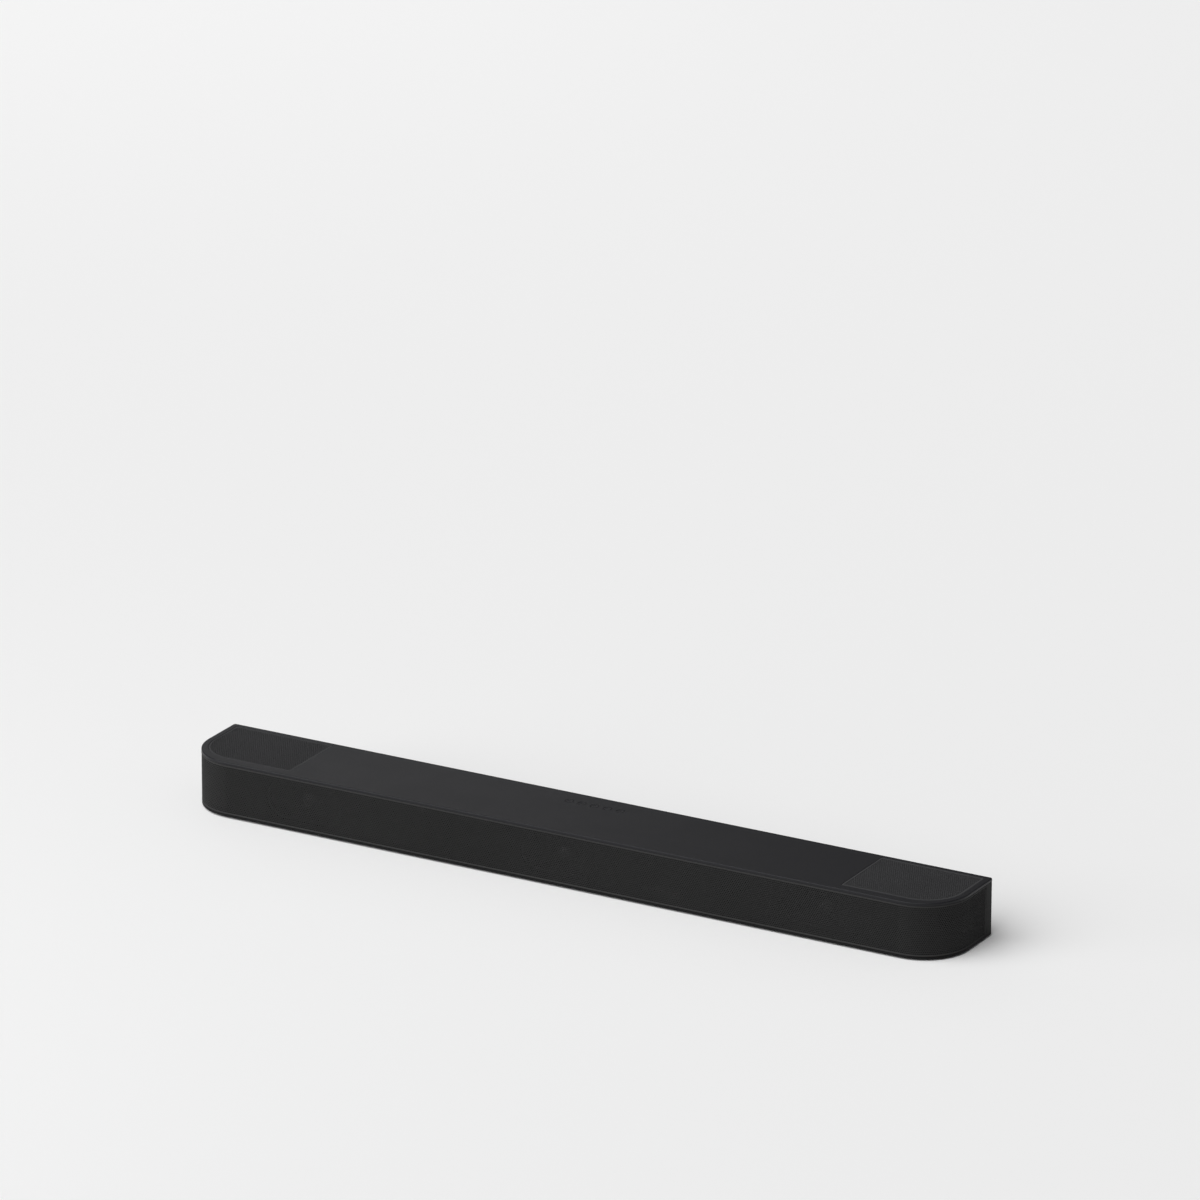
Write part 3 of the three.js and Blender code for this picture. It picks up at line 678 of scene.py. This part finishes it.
hems = [
    wrapped_strip("grille_hem_bottom", hem_profile(sheet_low.z, sheet_low.z + HEM_HEIGHT)),
    wrapped_strip("grille_hem_top", hem_profile(sheet_high.z - HEM_HEIGHT, sheet_high.z)),
]
for side, name in ((-1, "left"), (1, "right")):
    bm = bmesh.new()
    x = sorted((side * RIGHT_X, side * (RIGHT_X - HEM)))
    block(
        bm, *x, sheet_high.y - HEM_HEIGHT, sheet_high.y, sheet_low.z + HEM_HEIGHT, sheet_high.z - HEM_HEIGHT
    )
    sharp_bevel(bm, 0.25 * MM)
    hems.append(make_object("grille_hem_" + name, bm))
for hem in hems:
    piece(hem, "cabinet", "grille_mesh", SHEET_STEEL)
print("hems:", len(hems))

# %% [markdown]
# ## Top cover
# The cover is a flat plate with a rounded rim. It starts as the outline, is drawn up to its thickness,
# and its upper rim is bevelled in five steps. The two end openings, with a ledge for the punched sheet,
# and the five key holes are then cut out of it.

# %% Top cover
COVER = 3.3 * MM
RIM = 1.1 * MM
END_FROM = 343 * MM
END_TO = RIGHT_X - 7 * MM
END_FRONT = FRONT_Y + 11 * MM
END_REAR = REAR_Y - 6 * MM
LEDGE = 3 * MM
SEAT = 1.8 * MM
KEY_HOLE = 4.85 * MM

key_nodes = sorted(
    (n for n in nodes if n.startswith("key_") and n != "key_board"), key=lambda n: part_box(n)[0].x
)
key_centres = {n: (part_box(n)[0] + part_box(n)[1]) / 2 for n in key_nodes}


def end_outline(side, inset, steps=20):
    """The outline of an end grille. Its outer front corner follows the bar's own corner."""
    outer, small = CORNER - 11 * MM - inset, max(2 * MM - inset / 3, 0.5 * MM)
    x0, x1 = END_FROM + inset, END_TO - inset
    y0, y1 = END_FRONT + inset, END_REAR - inset
    if side > 0:
        return rounded(x0, x1, y0, y1, (small, outer, small, small), steps)
    return rounded(-x1, -x0, y0, y1, (outer, small, small, small), steps)


bm = bmesh.new()
lid = plate(bm, plan_outline(0), TOP_Z - COVER, TOP_Z)
rim_bevel(bm, list(lid.edges), RIM, 5)
cover = make_object("top_cover_shell", bm, smooth=0)


def end_seats(bm):
    for side in (-1, 1):
        plate(bm, end_outline(side, 0), TOP_Z - SEAT, TOP_Z + COVER)


def end_holes(bm):
    for side in (-1, 1):
        plate(bm, end_outline(side, LEDGE), TOP_Z - 2 * COVER, TOP_Z + COVER)


def key_holes(bm):
    for centre in key_centres.values():
        post(bm, KEY_HOLE, (centre.x, centre.y, TOP_Z), 4 * COVER, segments=40)


for name, shape in (("seats", end_seats), ("holes", end_holes), ("keys", key_holes)):
    cut_with(cover, name, shape)
soften(cover, 0.25 * MM, 2, 50)
piece(cover, "cabinet", "top_panel", TOP_PANEL, "top_cover")
print("top cover:", len(cover.data.polygons), "faces")

# %% [markdown]
# ## End grilles
# Each end grille is the same punched sheet, laid flat. Cells whose middle lies near or past the outline
# are removed, and a plain frame with a folded edge covers the ragged border.

# %% End grilles
FRAME_WIDTH = 2.6 * MM
sheet_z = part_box("top_grille_left")[1].z


def inside(outline, x, y):
    """True if a point is inside a convex outline that runs anticlockwise."""
    pairs = zip(outline, outline[1:] + outline[:1])
    return all((bx - ax) * (y - ay) - (by - ay) * (x - ax) >= -1e-9 for (ax, ay), (bx, by) in pairs)


for side, name in ((-1, "left"), (1, "right")):
    edge = end_outline(side, FRAME_WIDTH * 0.45)
    corner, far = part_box("top_grille_" + name)
    field = punched_field(
        "end_grille_" + name, int((far.x - corner.x) / PITCH), int((far.y - corner.y) / 2 / ROW)
    )
    bm = bmesh.new()
    bm.from_mesh(field.data)
    bmesh.ops.translate(bm, verts=bm.verts, vec=(corner.x, corner.y, 0))
    outside = [f for f in bm.faces if not inside(edge, *f.calc_center_median().xy)]
    bmesh.ops.delete(bm, geom=outside, context="FACES")
    bmesh.ops.translate(bm, verts=bm.verts, vec=(0, 0, sheet_z - 0.2 * MM))
    bm.to_mesh(field.data)
    bm.free()
    thicken(field, SHEET)
    # The lighter powder coat on this upward-facing sheet is painted light.
    piece(field, "cabinet", "grille_mesh", END_STEEL_PAINTED_LIGHT, "top_grille_" + name)

    bm = bmesh.new()
    surround = plate(bm, end_outline(side, 0.3 * MM), sheet_z - 1.1 * MM, sheet_z)
    rim_bevel(bm, list(surround.edges), 0.3 * MM, 2)
    border = make_object("end_grille_frame_" + name, bm, smooth=0)
    cut_with(border, "window", lambda tool, s=side: plate(tool, end_outline(s, FRAME_WIDTH), 0, 2 * TOP_Z))
    smooth_flats(border)
    # The frame takes the same lighter powder coat, which is painted light.
    piece(border, "cabinet", "grille_mesh", END_STEEL_PAINTED_LIGHT)
    print("end grille", name, len(field.data.polygons), "faces")

# %% [markdown]
# ## Cover posts
# Posts hang from the cover down to the cabinet's bosses, and the casing screws bite into them.

# %% Cover posts
POST = 3.6 * MM
PILOT = 1.7 * MM
BITE = 9 * MM
POST_FOOT = 8.3 * MM

screws = sorted(n for n in nodes if n.startswith("screw_"))
bm = bmesh.new()
for name in screws:
    centre = (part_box(name)[0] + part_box(name)[1]) / 2
    top = TOP_Z - COVER
    bore = POST_FOOT + BITE
    profile = ((PILOT, POST_FOOT), (POST, POST_FOOT), (POST, top), (0, top), (0, bore), (PILOT, bore))
    bmesh.ops.translate(bm, verts=turned(bm, profile, 24), vec=(centre.x, centre.y, 0))
piece(make_object("cover_posts", bm), "cabinet", "top_panel", TOP_PANEL)
print("cover posts:", len(screws))

# %% [markdown]
# ## Cabinet, baffles and feet
# These pieces have the right shape already, so each is a copy of its engineering node whose loose
# triangles are merged into whole faces and whose sharp edges are rounded, as every moulding's are.

# %% Moulded pieces
SOFTENED = (
    ("bottom_cabinet", "cabinet_shell", 0.4, "cabinet_plastic", CABINET),
    ("rear_panel", "rear_socket_panel", 0.25, "rear_panel_plastic", CABINET),
    ("front_baffle", "front_baffle_moulding", 0.4, "inner_moulding", MOULDING),
    ("up_chamber_left", "up_chamber_left_moulding", 0.4, "inner_moulding", MOULDING),
    ("up_chamber_right", "up_chamber_right_moulding", 0.4, "inner_moulding", MOULDING),
    ("foot_front_left", "foot_pad_front_left", 0.4, "foot_rubber", RUBBER),
    ("foot_front_right", "foot_pad_front_right", 0.4, "foot_rubber", RUBBER),
    ("foot_rear_left", "foot_pad_rear_left", 0.4, "foot_rubber", RUBBER),
    ("foot_rear_right", "foot_pad_rear_right", 0.4, "foot_rubber", RUBBER),
    ("heat_sink", "finned_heat_sink", 0.2, "heat_sink", ALUMINIUM),
    ("optical_port", "optical_socket_shell", 0.25, "socket_plastic", SOCKET_PLASTIC),
    ("av_port_in", "av_socket_in_shell", 0.2, "socket_shell", PLATED),
    ("av_port_out", "av_socket_out_shell", 0.2, "socket_shell", PLATED),
    ("service_port", "service_socket_shell", 0.2, "socket_shell", PLATED),
    ("power_inlet", "inlet_shell", 0.25, "socket_plastic", SOCKET_PLASTIC),
)
for node, name, width, slot, material in SOFTENED:
    made = softened_copy(node, name, width * MM)
    piece(made, "cabinet", slot, material, node)
    print(name, len(made.data.polygons), "faces")
shutter = softened_copy("optical_shutter", "optical_socket_shutter", 0.15 * MM)
piece(shutter, "optical_shutter", "socket_plastic", SOCKET_PLASTIC, "optical_shutter")

# %% [markdown]
# ## Socket contacts
# Each socket holds a thin plastic tongue that carries gold contacts, and the inlet has two plain pins.

# %% Socket contacts
def boxes(name, node, material, distances, soft=0.1, slot="circuit_board", replaced=()):
    """Separate soft-edged boxes in one piece, each as six millimetre distances from the node's low corner."""
    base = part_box(node)[0]
    bm = bmesh.new()
    for six in distances:
        x0, x1, y0, y1, z0, z1 = (d * MM for d in six)
        block(bm, base.x + x0, base.x + x1, base.y + y0, base.y + y1, base.z + z0, base.z + z1)
    sharp_bevel(bm, soft * MM)
    return piece(make_object(name, bm), "cabinet", slot, material, *replaced)


for node, tall in (("av_port_in", 2.5), ("av_port_out", 2.5), ("service_port", 4.0)):
    near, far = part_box(node)
    wide = (far.x - near.x) / MM
    deep = (far.y - near.y) / MM
    inset = 2.6 if node.startswith("av") else 1.9
    count = 9 if node.startswith("av") else 4
    tongue = (inset, wide - inset, 3, deep - 1.5, tall, tall + 1.1)
    boxes(node + "_tongue", node, SOCKET_PLASTIC, [tongue], slot="socket_shell")
    step = (wide - 2 * inset - 1.4) / (count - 1)
    strips = [
        (
            inset + 0.45 + i * step, inset + 0.95 + i * step, 3.5, deep - 2, tall - 0.1, tall + 0.05
        ) for i in range(count)
    ]
    boxes(node + "_contacts", node, GOLD, strips, soft=0.03, slot="socket_shell")

near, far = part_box("power_inlet")
middle = (near + far) / 2
bm = bmesh.new()
for side in (-1, 1):
    post(bm, 1.3 * MM, (middle.x + side * 4.3 * MM, far.y - 7.6 * MM, middle.z), 10.4 * MM, "Y", 20)
sharp_bevel(bm, 0.35 * MM)
piece(make_object("inlet_pins", bm), "cabinet", "socket_shell", ZINC)
print("sockets have contacts")

# %% [markdown]
# ## Drivers
# Every part of a driver is turned about its own axis. The front ones have round motors and racetrack
# rims, so the turned shape is pulled apart along X between two radii. Each part is made at the origin,
# facing up, and its vertices are then moved to where the driver is.

# %% Drivers
FLANGE = 24.5
UP_FLANGE = 23
POLYGON = math.cos(math.pi / 16)


def driver_frame(name):
    """Where a driver is: a matrix, its radial and axial scale, and half its straight side in millimetres."""
    near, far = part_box(name + "_basket")
    joint = next(j for j in frame["joints"] if j["child"] == name + "_cone")
    facing = Vector(joint["axis"])
    tilt = math.acos(facing.z)
    if name.startswith("up"):
        rim = UP_FLANGE * POLYGON * MM
        lip = 1.5 * MM
        place = (
            (near.x + far.x) / 2,
            far.y - rim * math.cos(tilt) - lip * math.sin(tilt),
            far.z - rim * math.sin(tilt),
        )
        radial, axial = UP_FLANGE / FLANGE, 0.75
    else:
        place = ((near.x + far.x) / 2, near.y, (near.z + far.z) / 2)
        radial, axial = 1, 1
    straight = (far.x - near.x) / 2 / MM - FLANGE * radial * POLYGON
    return Matrix.Translation(place) @ Matrix.Rotation(tilt, 4, "X"), radial, axial, straight


def half_roll(middle, outer, inner, lip, steps=10):
    """Profile of a surround: a flat lip outside, then a half roll."""
    over = arc((middle, lip), outer, 0, 180, steps)
    under = arc((middle, lip), inner, 180, -180, steps)
    foot = middle - outer
    return (
        (24, 0.3), (24, lip), *over, (foot, 0.3), (foot + outer - inner, 0.3), *under, (middle + inner, 0.3)
    )


def corrugated(r0, r1, waves, height, middle, thickness=0.35, steps=6):
    """Profile of a spider: rings of waves in a thin cloth."""
    count = waves * steps
    line = [
        (
            r0 + (r1 - r0) * i / count, middle + height * math.sin(2 * math.pi * i / steps)
        ) for i in range(count + 1)
    ]
    return (*line, *((r, z - thickness) for r, z in reversed(line)))


BASKET = (
    (24.5, -0.3), (24.2, 0), (19.4, 0), (19.4, -2.4), (16.1, -15.6), (16.1, -18.6), (10.4, -18.6),
    (10.4, -20),
    (17, -20), (17.5, -19.5), (17.5, -16), (21, -2.9), (21.4, -2.4), (24.1, -2), (24.5, -1.7),
)
CONE_WALL = ((9.3, -8.2), (13, -3.8), (16.6, 0.5), (17.1, 0.9), (17.1, 0.3), (13.1, -4.6), (9.3, -9))
CAP = (
    (0, -4.4), (2.5, -4.6), (5, -5.3), (7.4, -6.6), (9.2, -8.1), (9.2, -8.7), (7.2, -7.1), (4.8, -5.8),
    (2.4, -5.1), (0, -4.9)
)
FORMER = ((8.7, -8.6), (9.2, -8.6), (9.2, -22), (8.7, -22))
WINDING = ((9.2, -16), (9.55, -16.15), (9.55, -21.5), (9.2, -21.6))
TOP_PLATE = ((9.9, -20.4), (16.8, -20.4), (17, -20.6), (17, -23.8), (16.8, -24), (9.9, -24))
YOKE = (
    (0, -13), (7.9, -13), (8.2, -13.3), (8.2, -33), (18.6, -33), (18.9, -33.3), (18.9, -35.7), (18.6, -36),
    (0, -36)
)
MAGNET = ((10.4, -24), (18.6, -24), (19, -24.4), (19, -32.6), (18.6, -33), (10.4, -33))
SPIDER = corrugated(9.6, 15.8, 4, 0.45, -14.4)

PARTS = (
    ("frame", BASKET, (17.5, 19.4), "cabinet", "driver_frame", BASKET_PAINT, "_basket"),
    ("cone_wall", CONE_WALL, (9.6, 17.1), "_cone", "driver_cone", CONE, "_cone"),
    ("dust_dome", CAP, (9.6, 17.1), "_cone", "driver_cone", DUST_CAP, None),
    ("coil_former", FORMER, (9.6, 17.1), "_cone", "driver_cone", TAPE, None),
    ("coil_winding", WINDING, (9.6, 17.1), "_cone", "driver_cone", COPPER, None),
    (
        "rubber_roll", half_roll(19.5, 2.1, 1.5, 0.9), (16, 17), "cabinet", "driver_surround", SURROUND,
        "_surround"
    ),
    ("top_plate", TOP_PLATE, None, "cabinet", "driver_magnet", ZINC, "_motor"),
    ("yoke", YOKE, None, "cabinet", "driver_magnet", ZINC, None),
    ("magnet_ring", MAGNET, None, "cabinet", "driver_magnet", FERRITE, None),
    ("corrugated_spider", SPIDER, None, "cabinet", "spider_cloth", SPIDER_CLOTH, "_spider"),
)


def basket_windows(bm, radial, axial, straight, matrix):
    """Eight windows round the sloping wall of a basket."""
    for angle in (22, 62, 118, 158, 202, 242, 298, 338):
        made = block(bm, 15 * MM, 22 * MM, -4.2 * MM, 4.2 * MM, -13 * MM, -5 * MM)
        turn = Matrix.Rotation(math.radians(angle), 4, "Z")
        side = math.copysign(straight * 0.55 * MM, math.cos(math.radians(angle)))
        scale = Matrix.Diagonal((radial, radial, axial, 1))
        bmesh.ops.transform(bm, matrix=matrix @ Matrix.Translation((side, 0, 0)) @ scale @ turn, verts=made)


for driver in ("left", "centre", "right", "up_left", "up_right"):
    matrix, radial, axial, straight = driver_frame(driver)
    for part, profile, widen, body, slot, material, node in PARTS:
        if node == "_spider" and driver.startswith("up"):
            continue
        bm = bmesh.new()
        points = [(r * radial * MM, z * axial * MM) for r, z in profile]
        if widen:
            turned(bm, points, 48, straight * MM, widen[0] * radial * MM, widen[1] * radial * MM)
        else:
            turned(bm, points, 48)
        bmesh.ops.transform(bm, matrix=matrix, verts=bm.verts)
        made = make_object(driver + "_" + part, bm, smooth=30)
        if part == "frame":
            cut_with(made, "windows", lambda tool: basket_windows(tool, radial, axial, straight, matrix))
            smooth_flats(made)
        replaced = (driver + node,) if node else ()
        piece(made, driver + body if body == "_cone" else body, slot, material, *replaced)
    print(driver, "driver is at", tuple(round(v, 4) for v in matrix.to_translation()))

# %% [markdown]
# ## Keys
# Each key is a small turned cap with a shallow dish and a plain sign sunk into it. The signs are the
# usual ones: a broken ring for power, an arrow into a bracket for the input, waves for wireless, a bar
# for less and a cross for more.

# %% Keys
SIGN_DEPTH = 0.25 * MM
FLANGE_TOP = TOP_Z - COVER - 0.3 * MM


def band(radius, width, start, sweep, steps=14):
    """Outline of a piece of a ring."""
    outer = arc((0, 0), radius + width / 2, start, sweep, steps)
    return outer + arc((0, 0), radius - width / 2, start + sweep, -sweep, steps)


def bar(x0, x1, y0, y1):
    return [(x0, y0), (x1, y0), (x1, y1), (x0, y1)]


def cross(reach, half):
    quarter = [(half, half), (half, reach), (-half, reach)]
    return [
        (x * c - y * s, x * s + y * c) for c, s in ((1, 0), (0, 1), (-1, 0), (0, -1)) for x, y in quarter
    ]


SIGNS = {
    "key_power": (band(1.5, 0.36, 125, 290), bar(-0.18, 0.18, 0.4, 2.0)),
    "key_input": (
        [(-2, 0.2), (-2, -0.2), (-0.1, -0.2), (-0.1, -0.8), (0.9, 0), (-0.1, 0.8), (-0.1, 0.2)],
        bar(1.4, 1.8, -1.5, 1.5),
    ),
    "key_wireless": (
        band(0.55, 0.36, 45, 90, 8), band(1.25, 0.36, 45, 90, 10), band(1.95, 0.36, 45, 90, 12)
    ),
    "key_volume_down": (bar(-1.6, 1.6, -0.2, 0.2),),
    "key_volume_up": (cross(1.6, 0.2),),
}
assert set(SIGNS) == set(key_nodes)

for name, centre in key_centres.items():
    near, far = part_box(name)
    reach = 4.5 * MM
    dish = [(r * MM, TOP_Z - d * MM) for r, d in ((0, 0.16), (2, 0.12), (3.2, 0.05), (3.9, 0.0))]
    edge = arc((reach - 0.4 * MM, TOP_Z - 0.4 * MM), 0.4 * MM, 90, -90, 4)
    stem = [(1.5 * MM, FLANGE_TOP - 1.4 * MM), (1.5 * MM, near.z), (0, near.z)]
    skirt = [(reach, FLANGE_TOP), (5.6 * MM, FLANGE_TOP), (5.6 * MM, FLANGE_TOP - 1.4 * MM)]
    bm = bmesh.new()
    turned(bm, dish + edge + skirt + stem, 48)
    bmesh.ops.translate(bm, verts=bm.verts, vec=(centre.x, centre.y, 0))
    cap = make_object(name + "_cap", bm)

    def sink(tool, signs=SIGNS[name], at=centre):
        for outline in signs:
            moved = [(at.x + x * MM, at.y + y * MM) for x, y in outline]
            plate(tool, moved, TOP_Z - SIGN_DEPTH - 0.16 * MM, TOP_Z + 1 * MM)

    cut_with(cap, "sign", sink)
    smooth_flats(cap)
    piece(cap, name, "key_cap", KEY_CAP, name)
print("keys:", [n for n in key_nodes])

# %% [markdown]
# ## Screws
# The casing screws have a low head with a cross recess, and a thread made of stacked rings.

# %% Screws
def screw_profile(bottom, top):
    """Head down. The thread is a row of small ridges up the shank."""
    head = [(0, bottom), (2.4 * MM, bottom), (3.0 * MM, bottom + 0.35 * MM), (3.2 * MM, bottom + 0.9 * MM)]
    head += [(3.2 * MM, bottom + 1.9 * MM), (1.15 * MM, bottom + 1.9 * MM)]
    thread = []
    z = bottom + 2.6 * MM
    while z < top - 1.2 * MM:
        thread += [(1.1 * MM, z), (1.4 * MM, z + 0.35 * MM), (1.1 * MM, z + 0.7 * MM)]
        z += 1.0 * MM
    return head + thread + [(0.9 * MM, top - 0.4 * MM), (0.3 * MM, top), (0, top)]


for name in screws:
    near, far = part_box(name)
    middle = (near + far) / 2
    bm = bmesh.new()
    turned(bm, screw_profile(near.z, far.z), 24)
    bmesh.ops.translate(bm, verts=bm.verts, vec=(middle.x, middle.y, 0))
    made = make_object("casing_" + name, bm)

    def recess(tool, at=middle, bottom=near.z):
        plate(
            tool, [(at.x + x * MM, at.y + y * MM) for x, y in cross(1.5, 0.3)], bottom - 1 * MM,
            bottom + 1.1 * MM
        )

    cut_with(made, "recess", recess)
    smooth_flats(made)
    piece(made, "cabinet", "screw_steel", SCREW_STEEL, name)
print("screws:", len(screws))

# %% [markdown]
# ## Boards and what stands on them
# A board is a thin slab, and each component is a small soft-edged solid in its own material. Distances
# are in millimetres from the low corner of the board's engineering node.

# %% Boards
def cans(name, node, material, places, soft=0.5):
    """Upright cylinders in one piece, in millimetres from the node's low corner: x, y, radius, bottom, top."""
    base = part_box(node)[0]
    bm = bmesh.new()
    for x, y, radius, z0, z1 in places:
        centre = (base.x + x * MM, base.y + y * MM, base.z + (z0 + z1) / 2 * MM)
        post(bm, radius * MM, centre, (z1 - z0) * MM, "Z", 28)
    sharp_bevel(bm, soft * MM, 3)
    return piece(make_object(name, bm), "cabinet", "circuit_board", material)


def small_parts(*patches):
    """Patches of tiny surface-mounted parts. A patch is its low corner, its columns and its rows."""
    return [
        (x0 + c * STEP_X, x0 + c * STEP_X + 1.6, y0 + r * STEP_Y, y0 + r * STEP_Y + 0.9, SLAB, SLAB + 0.55)
        for x0, y0, columns, rows in patches
        for c in range(columns)
        for r in range(rows)
    ]


SLAB = 1.6
STEP_X = 3.2
STEP_Y = 2.4
boxes("main_board_slab", "main_board", CIRCUIT, [(0, 168, 0, 62.5, 0, SLAB)], replaced=("main_board",))
boxes(
    "main_board_chips", "main_board", CHIP,
    [
        (116, 132, 24, 40, SLAB, 3.2), (88, 100, 28, 40, SLAB, 3.0), (78, 84, 8, 13, SLAB, 2.6),
        (142, 152, 30, 36, SLAB, 2.8)
    ],
)
boxes(
    "main_board_small_parts", "main_board", CHIP,
    small_parts((88, 43, 7, 2), (80, 18, 3, 3), (135, 42, 5, 3), (20, 44, 12, 3)),
    soft=0.05,
)
boxes(
    "main_board_chokes", "main_board", FERRITE,
    [(74, 82, 50, 58, SLAB, 6), (88, 96, 50, 58, SLAB, 6), (60, 68, 50, 58, SLAB, 6)], soft=0.8,
)
boxes(
    "main_board_connectors", "main_board", WHITE_PLASTIC,
    [(6, 14, 6, 26, SLAB, 8.6), (6, 12, 36, 52, SLAB, 7)]
)
cans("main_board_capacitors", "main_board", SLEEVE, [(x, 10, 4, SLAB, 13.6) for x in (114, 126, 138, 150)])
cans(
    "main_board_capacitor_tops", "main_board", ALUMINIUM,
    [(x, 10, 3.5, 13, 13.75) for x in (114, 126, 138, 150)], 0.1
)

boxes("power_board_slab", "power_board", CIRCUIT, [(0, 166, 0, 62.5, 0, SLAB)], replaced=("power_board",))
boxes("power_board_relay", "power_board", CHIP, [(106, 128, 6, 16, SLAB, 15.6)], soft=0.4)
fins = [(10.4, 16, y, y + 1.4, SLAB + 2, 19.6) for y in (8, 14, 20, 26, 32, 38.6)]
boxes(
    "power_board_heat_plate", "power_board", ALUMINIUM,
    [(8, 10.4, 8, 40, SLAB, 19.6), *fins],
)
boxes(
    "power_board_small_parts", "power_board", CHIP,
    small_parts((76, 44, 6, 3), (112, 24, 5, 4), (20, 50, 8, 3)), soft=0.05,
)
boxes(
    "power_board_filter", "power_board", TAPE, [(134, 156, 40, 52, SLAB, 13), (112, 124, 40, 46, SLAB, 9)],
    soft=0.5
)
cans("power_board_capacitor", "power_board", SLEEVE, [(148, 24, 8, SLAB, 27.6), (100, 36, 5, SLAB, 18)])
cans(
    "power_board_capacitor_top", "power_board", ALUMINIUM,
    [(148, 24, 7.3, 27, 27.7), (100, 36, 4.4, 17.4, 18.1)], 0.1
)

boxes(
    "transformer_core", "power_transformer", FERRITE,
    [
        (0, 34, 5, 11, 3.7, 24.7), (0, 34, 31, 37, 3.7, 24.7),
        (0, 3.6, 11, 31, 3.7, 24.7), (30.4, 34, 11, 31, 3.7, 24.7),
    ],
    soft=0.3, slot="transformer_tape", replaced=("power_transformer",),
)
boxes(
    "transformer_winding", "power_transformer", TAPE, [(4.2, 29.8, 0, 42, 7.7, 20.7)], soft=1.6,
    slot="transformer_tape"
)
boxes(
    "transformer_bobbin", "power_transformer", CHIP,
    [(3, 31, 2, 40, 0, 3.5), (5, 29, 1, 41, 6.2, 7.6), (5, 29, 1, 41, 20.8, 22.2)], slot="transformer_tape"
)

boxes(
    "wireless_slab", "wireless_module", CIRCUIT, [(0, 32, 2, 3.2, 0, 20)], soft=0.08,
    replaced=("wireless_module",)
)
boxes("wireless_shield", "wireless_module", PLATED, [(4, 22, 0, 2, 4, 17)], soft=0.3)
boxes(
    "indicator_slab", "indicator_board", BLACK_BOARD,
    [(0, 48, 1.8, 3, 0, 11)], soft=0.08, replaced=("indicator_board",),
)
boxes("indicator_sensor", "indicator_board", SMOKED_LENS, [(36, 43, 0, 1.8, 2, 9)], soft=0.6)
boxes(
    "indicator_lamps", "indicator_board", SMOKED_LENS,
    [(x, x + 2, 1, 1.8, 4.5, 6.5) for x in (6, 13, 20, 27)],
)

near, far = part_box("key_board")
slab = (far.x - near.x) / MM, (far.y - near.y) / MM
boxes(
    "key_board_slab", "key_board", CIRCUIT, [(0, slab[0], 0, slab[1], 0, SLAB)], soft=0.08,
    replaced=("key_board",)
)
switches = [(c.x - near.x) / MM for c in key_centres.values()]
boxes(
    "switch_bodies", "key_board", PLATED,
    [(x - 2.2, x + 2.2, 5.8, 10.2, SLAB, SLAB + 0.6) for x in switches]
)
cans("switch_buttons", "key_board", CHIP, [(x, 8, 1.1, SLAB + 0.6, SLAB + 0.9) for x in switches], 0.08)

left_over = [name for name, made in nodes.items() if not made.hide_render]
for name in left_over:
    nodes[name].data.materials.clear()
    nodes[name].data.materials.append(MOULDING)
print("engineering nodes still shown:", left_over)

# %% [markdown]
# ## Floor and light
# The floor and the surroundings are plain and pale. One broad soft light from the front left lights the
# whole scene evenly. A wide panel behind the bar's left end lies low, so that the satin top catches it
# at a flat angle and turns darker towards the right. A small panel at the front left lifts the front
# grille's left half a little.

# %% Floor and light
floor_mesh = bmesh.new()
bmesh.ops.create_grid(floor_mesh, x_segments=1, y_segments=1, size=30)
floor = make_object("floor", floor_mesh, smooth=0)
floor_paint = bpy.data.materials.new("floor_paint")
floor_paint.use_nodes = True
floor_shader = floor_paint.node_tree.nodes["Principled BSDF"]
floor_shader.inputs["Base Color"].default_value = (0.92, 0.92, 0.92, 1)
floor_shader.inputs["Roughness"].default_value = 0.9
floor_shader.inputs["Specular IOR Level"].default_value = 0.1
floor.data.materials.append(floor_paint)
floor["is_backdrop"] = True


def area_light(name, place, aim, width, height, power):
    light = bpy.data.lights.new(name, "AREA")
    light.shape = "RECTANGLE"
    light.size, light.size_y = width, height
    light.energy = power
    lamp = bpy.data.objects.new(name, light)
    turn = (Vector(aim) - Vector(place)).to_track_quat("-Z", "Y")
    lamp.matrix_world = Matrix.Translation(place) @ turn.to_matrix().to_4x4()
    bpy.context.scene.collection.objects.link(lamp)
    return lamp


sun = bpy.data.lights.new("overhead", "SUN")
sun.energy = 3.0
sun.angle = math.radians(75)
overhead = bpy.data.objects.new("overhead", sun)
overhead.rotation_euler = (math.radians(35), math.radians(-20), 0)
bpy.context.scene.collection.objects.link(overhead)
area_light("rear_panel", (-3.0, 3.0, 1.6), (-0.3, 0, 0), 2.5, 1.0, 6)
area_light("front_left_panel", (-1.6, -1.6, 0.3), (-0.3, 0, 0), 1.0, 0.6, 11)

world = bpy.data.worlds.new("surroundings")
bpy.context.scene.world = world
world.use_nodes = True
sky = world.node_tree
seen = add(sky, "ShaderNodeLightPath").outputs["Is Camera Ray"]
strength = add(sky, "ShaderNodeMapRange", {"Value": seen, "To Min": 0.16, "To Max": 1.0}).outputs["Result"]
sky.links.new(strength, sky.nodes["Background"].inputs["Strength"])
sky.nodes["Background"].inputs["Color"].default_value = (1, 1, 1, 1)
bpy.context.scene.view_settings.view_transform = "Standard"

low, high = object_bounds()
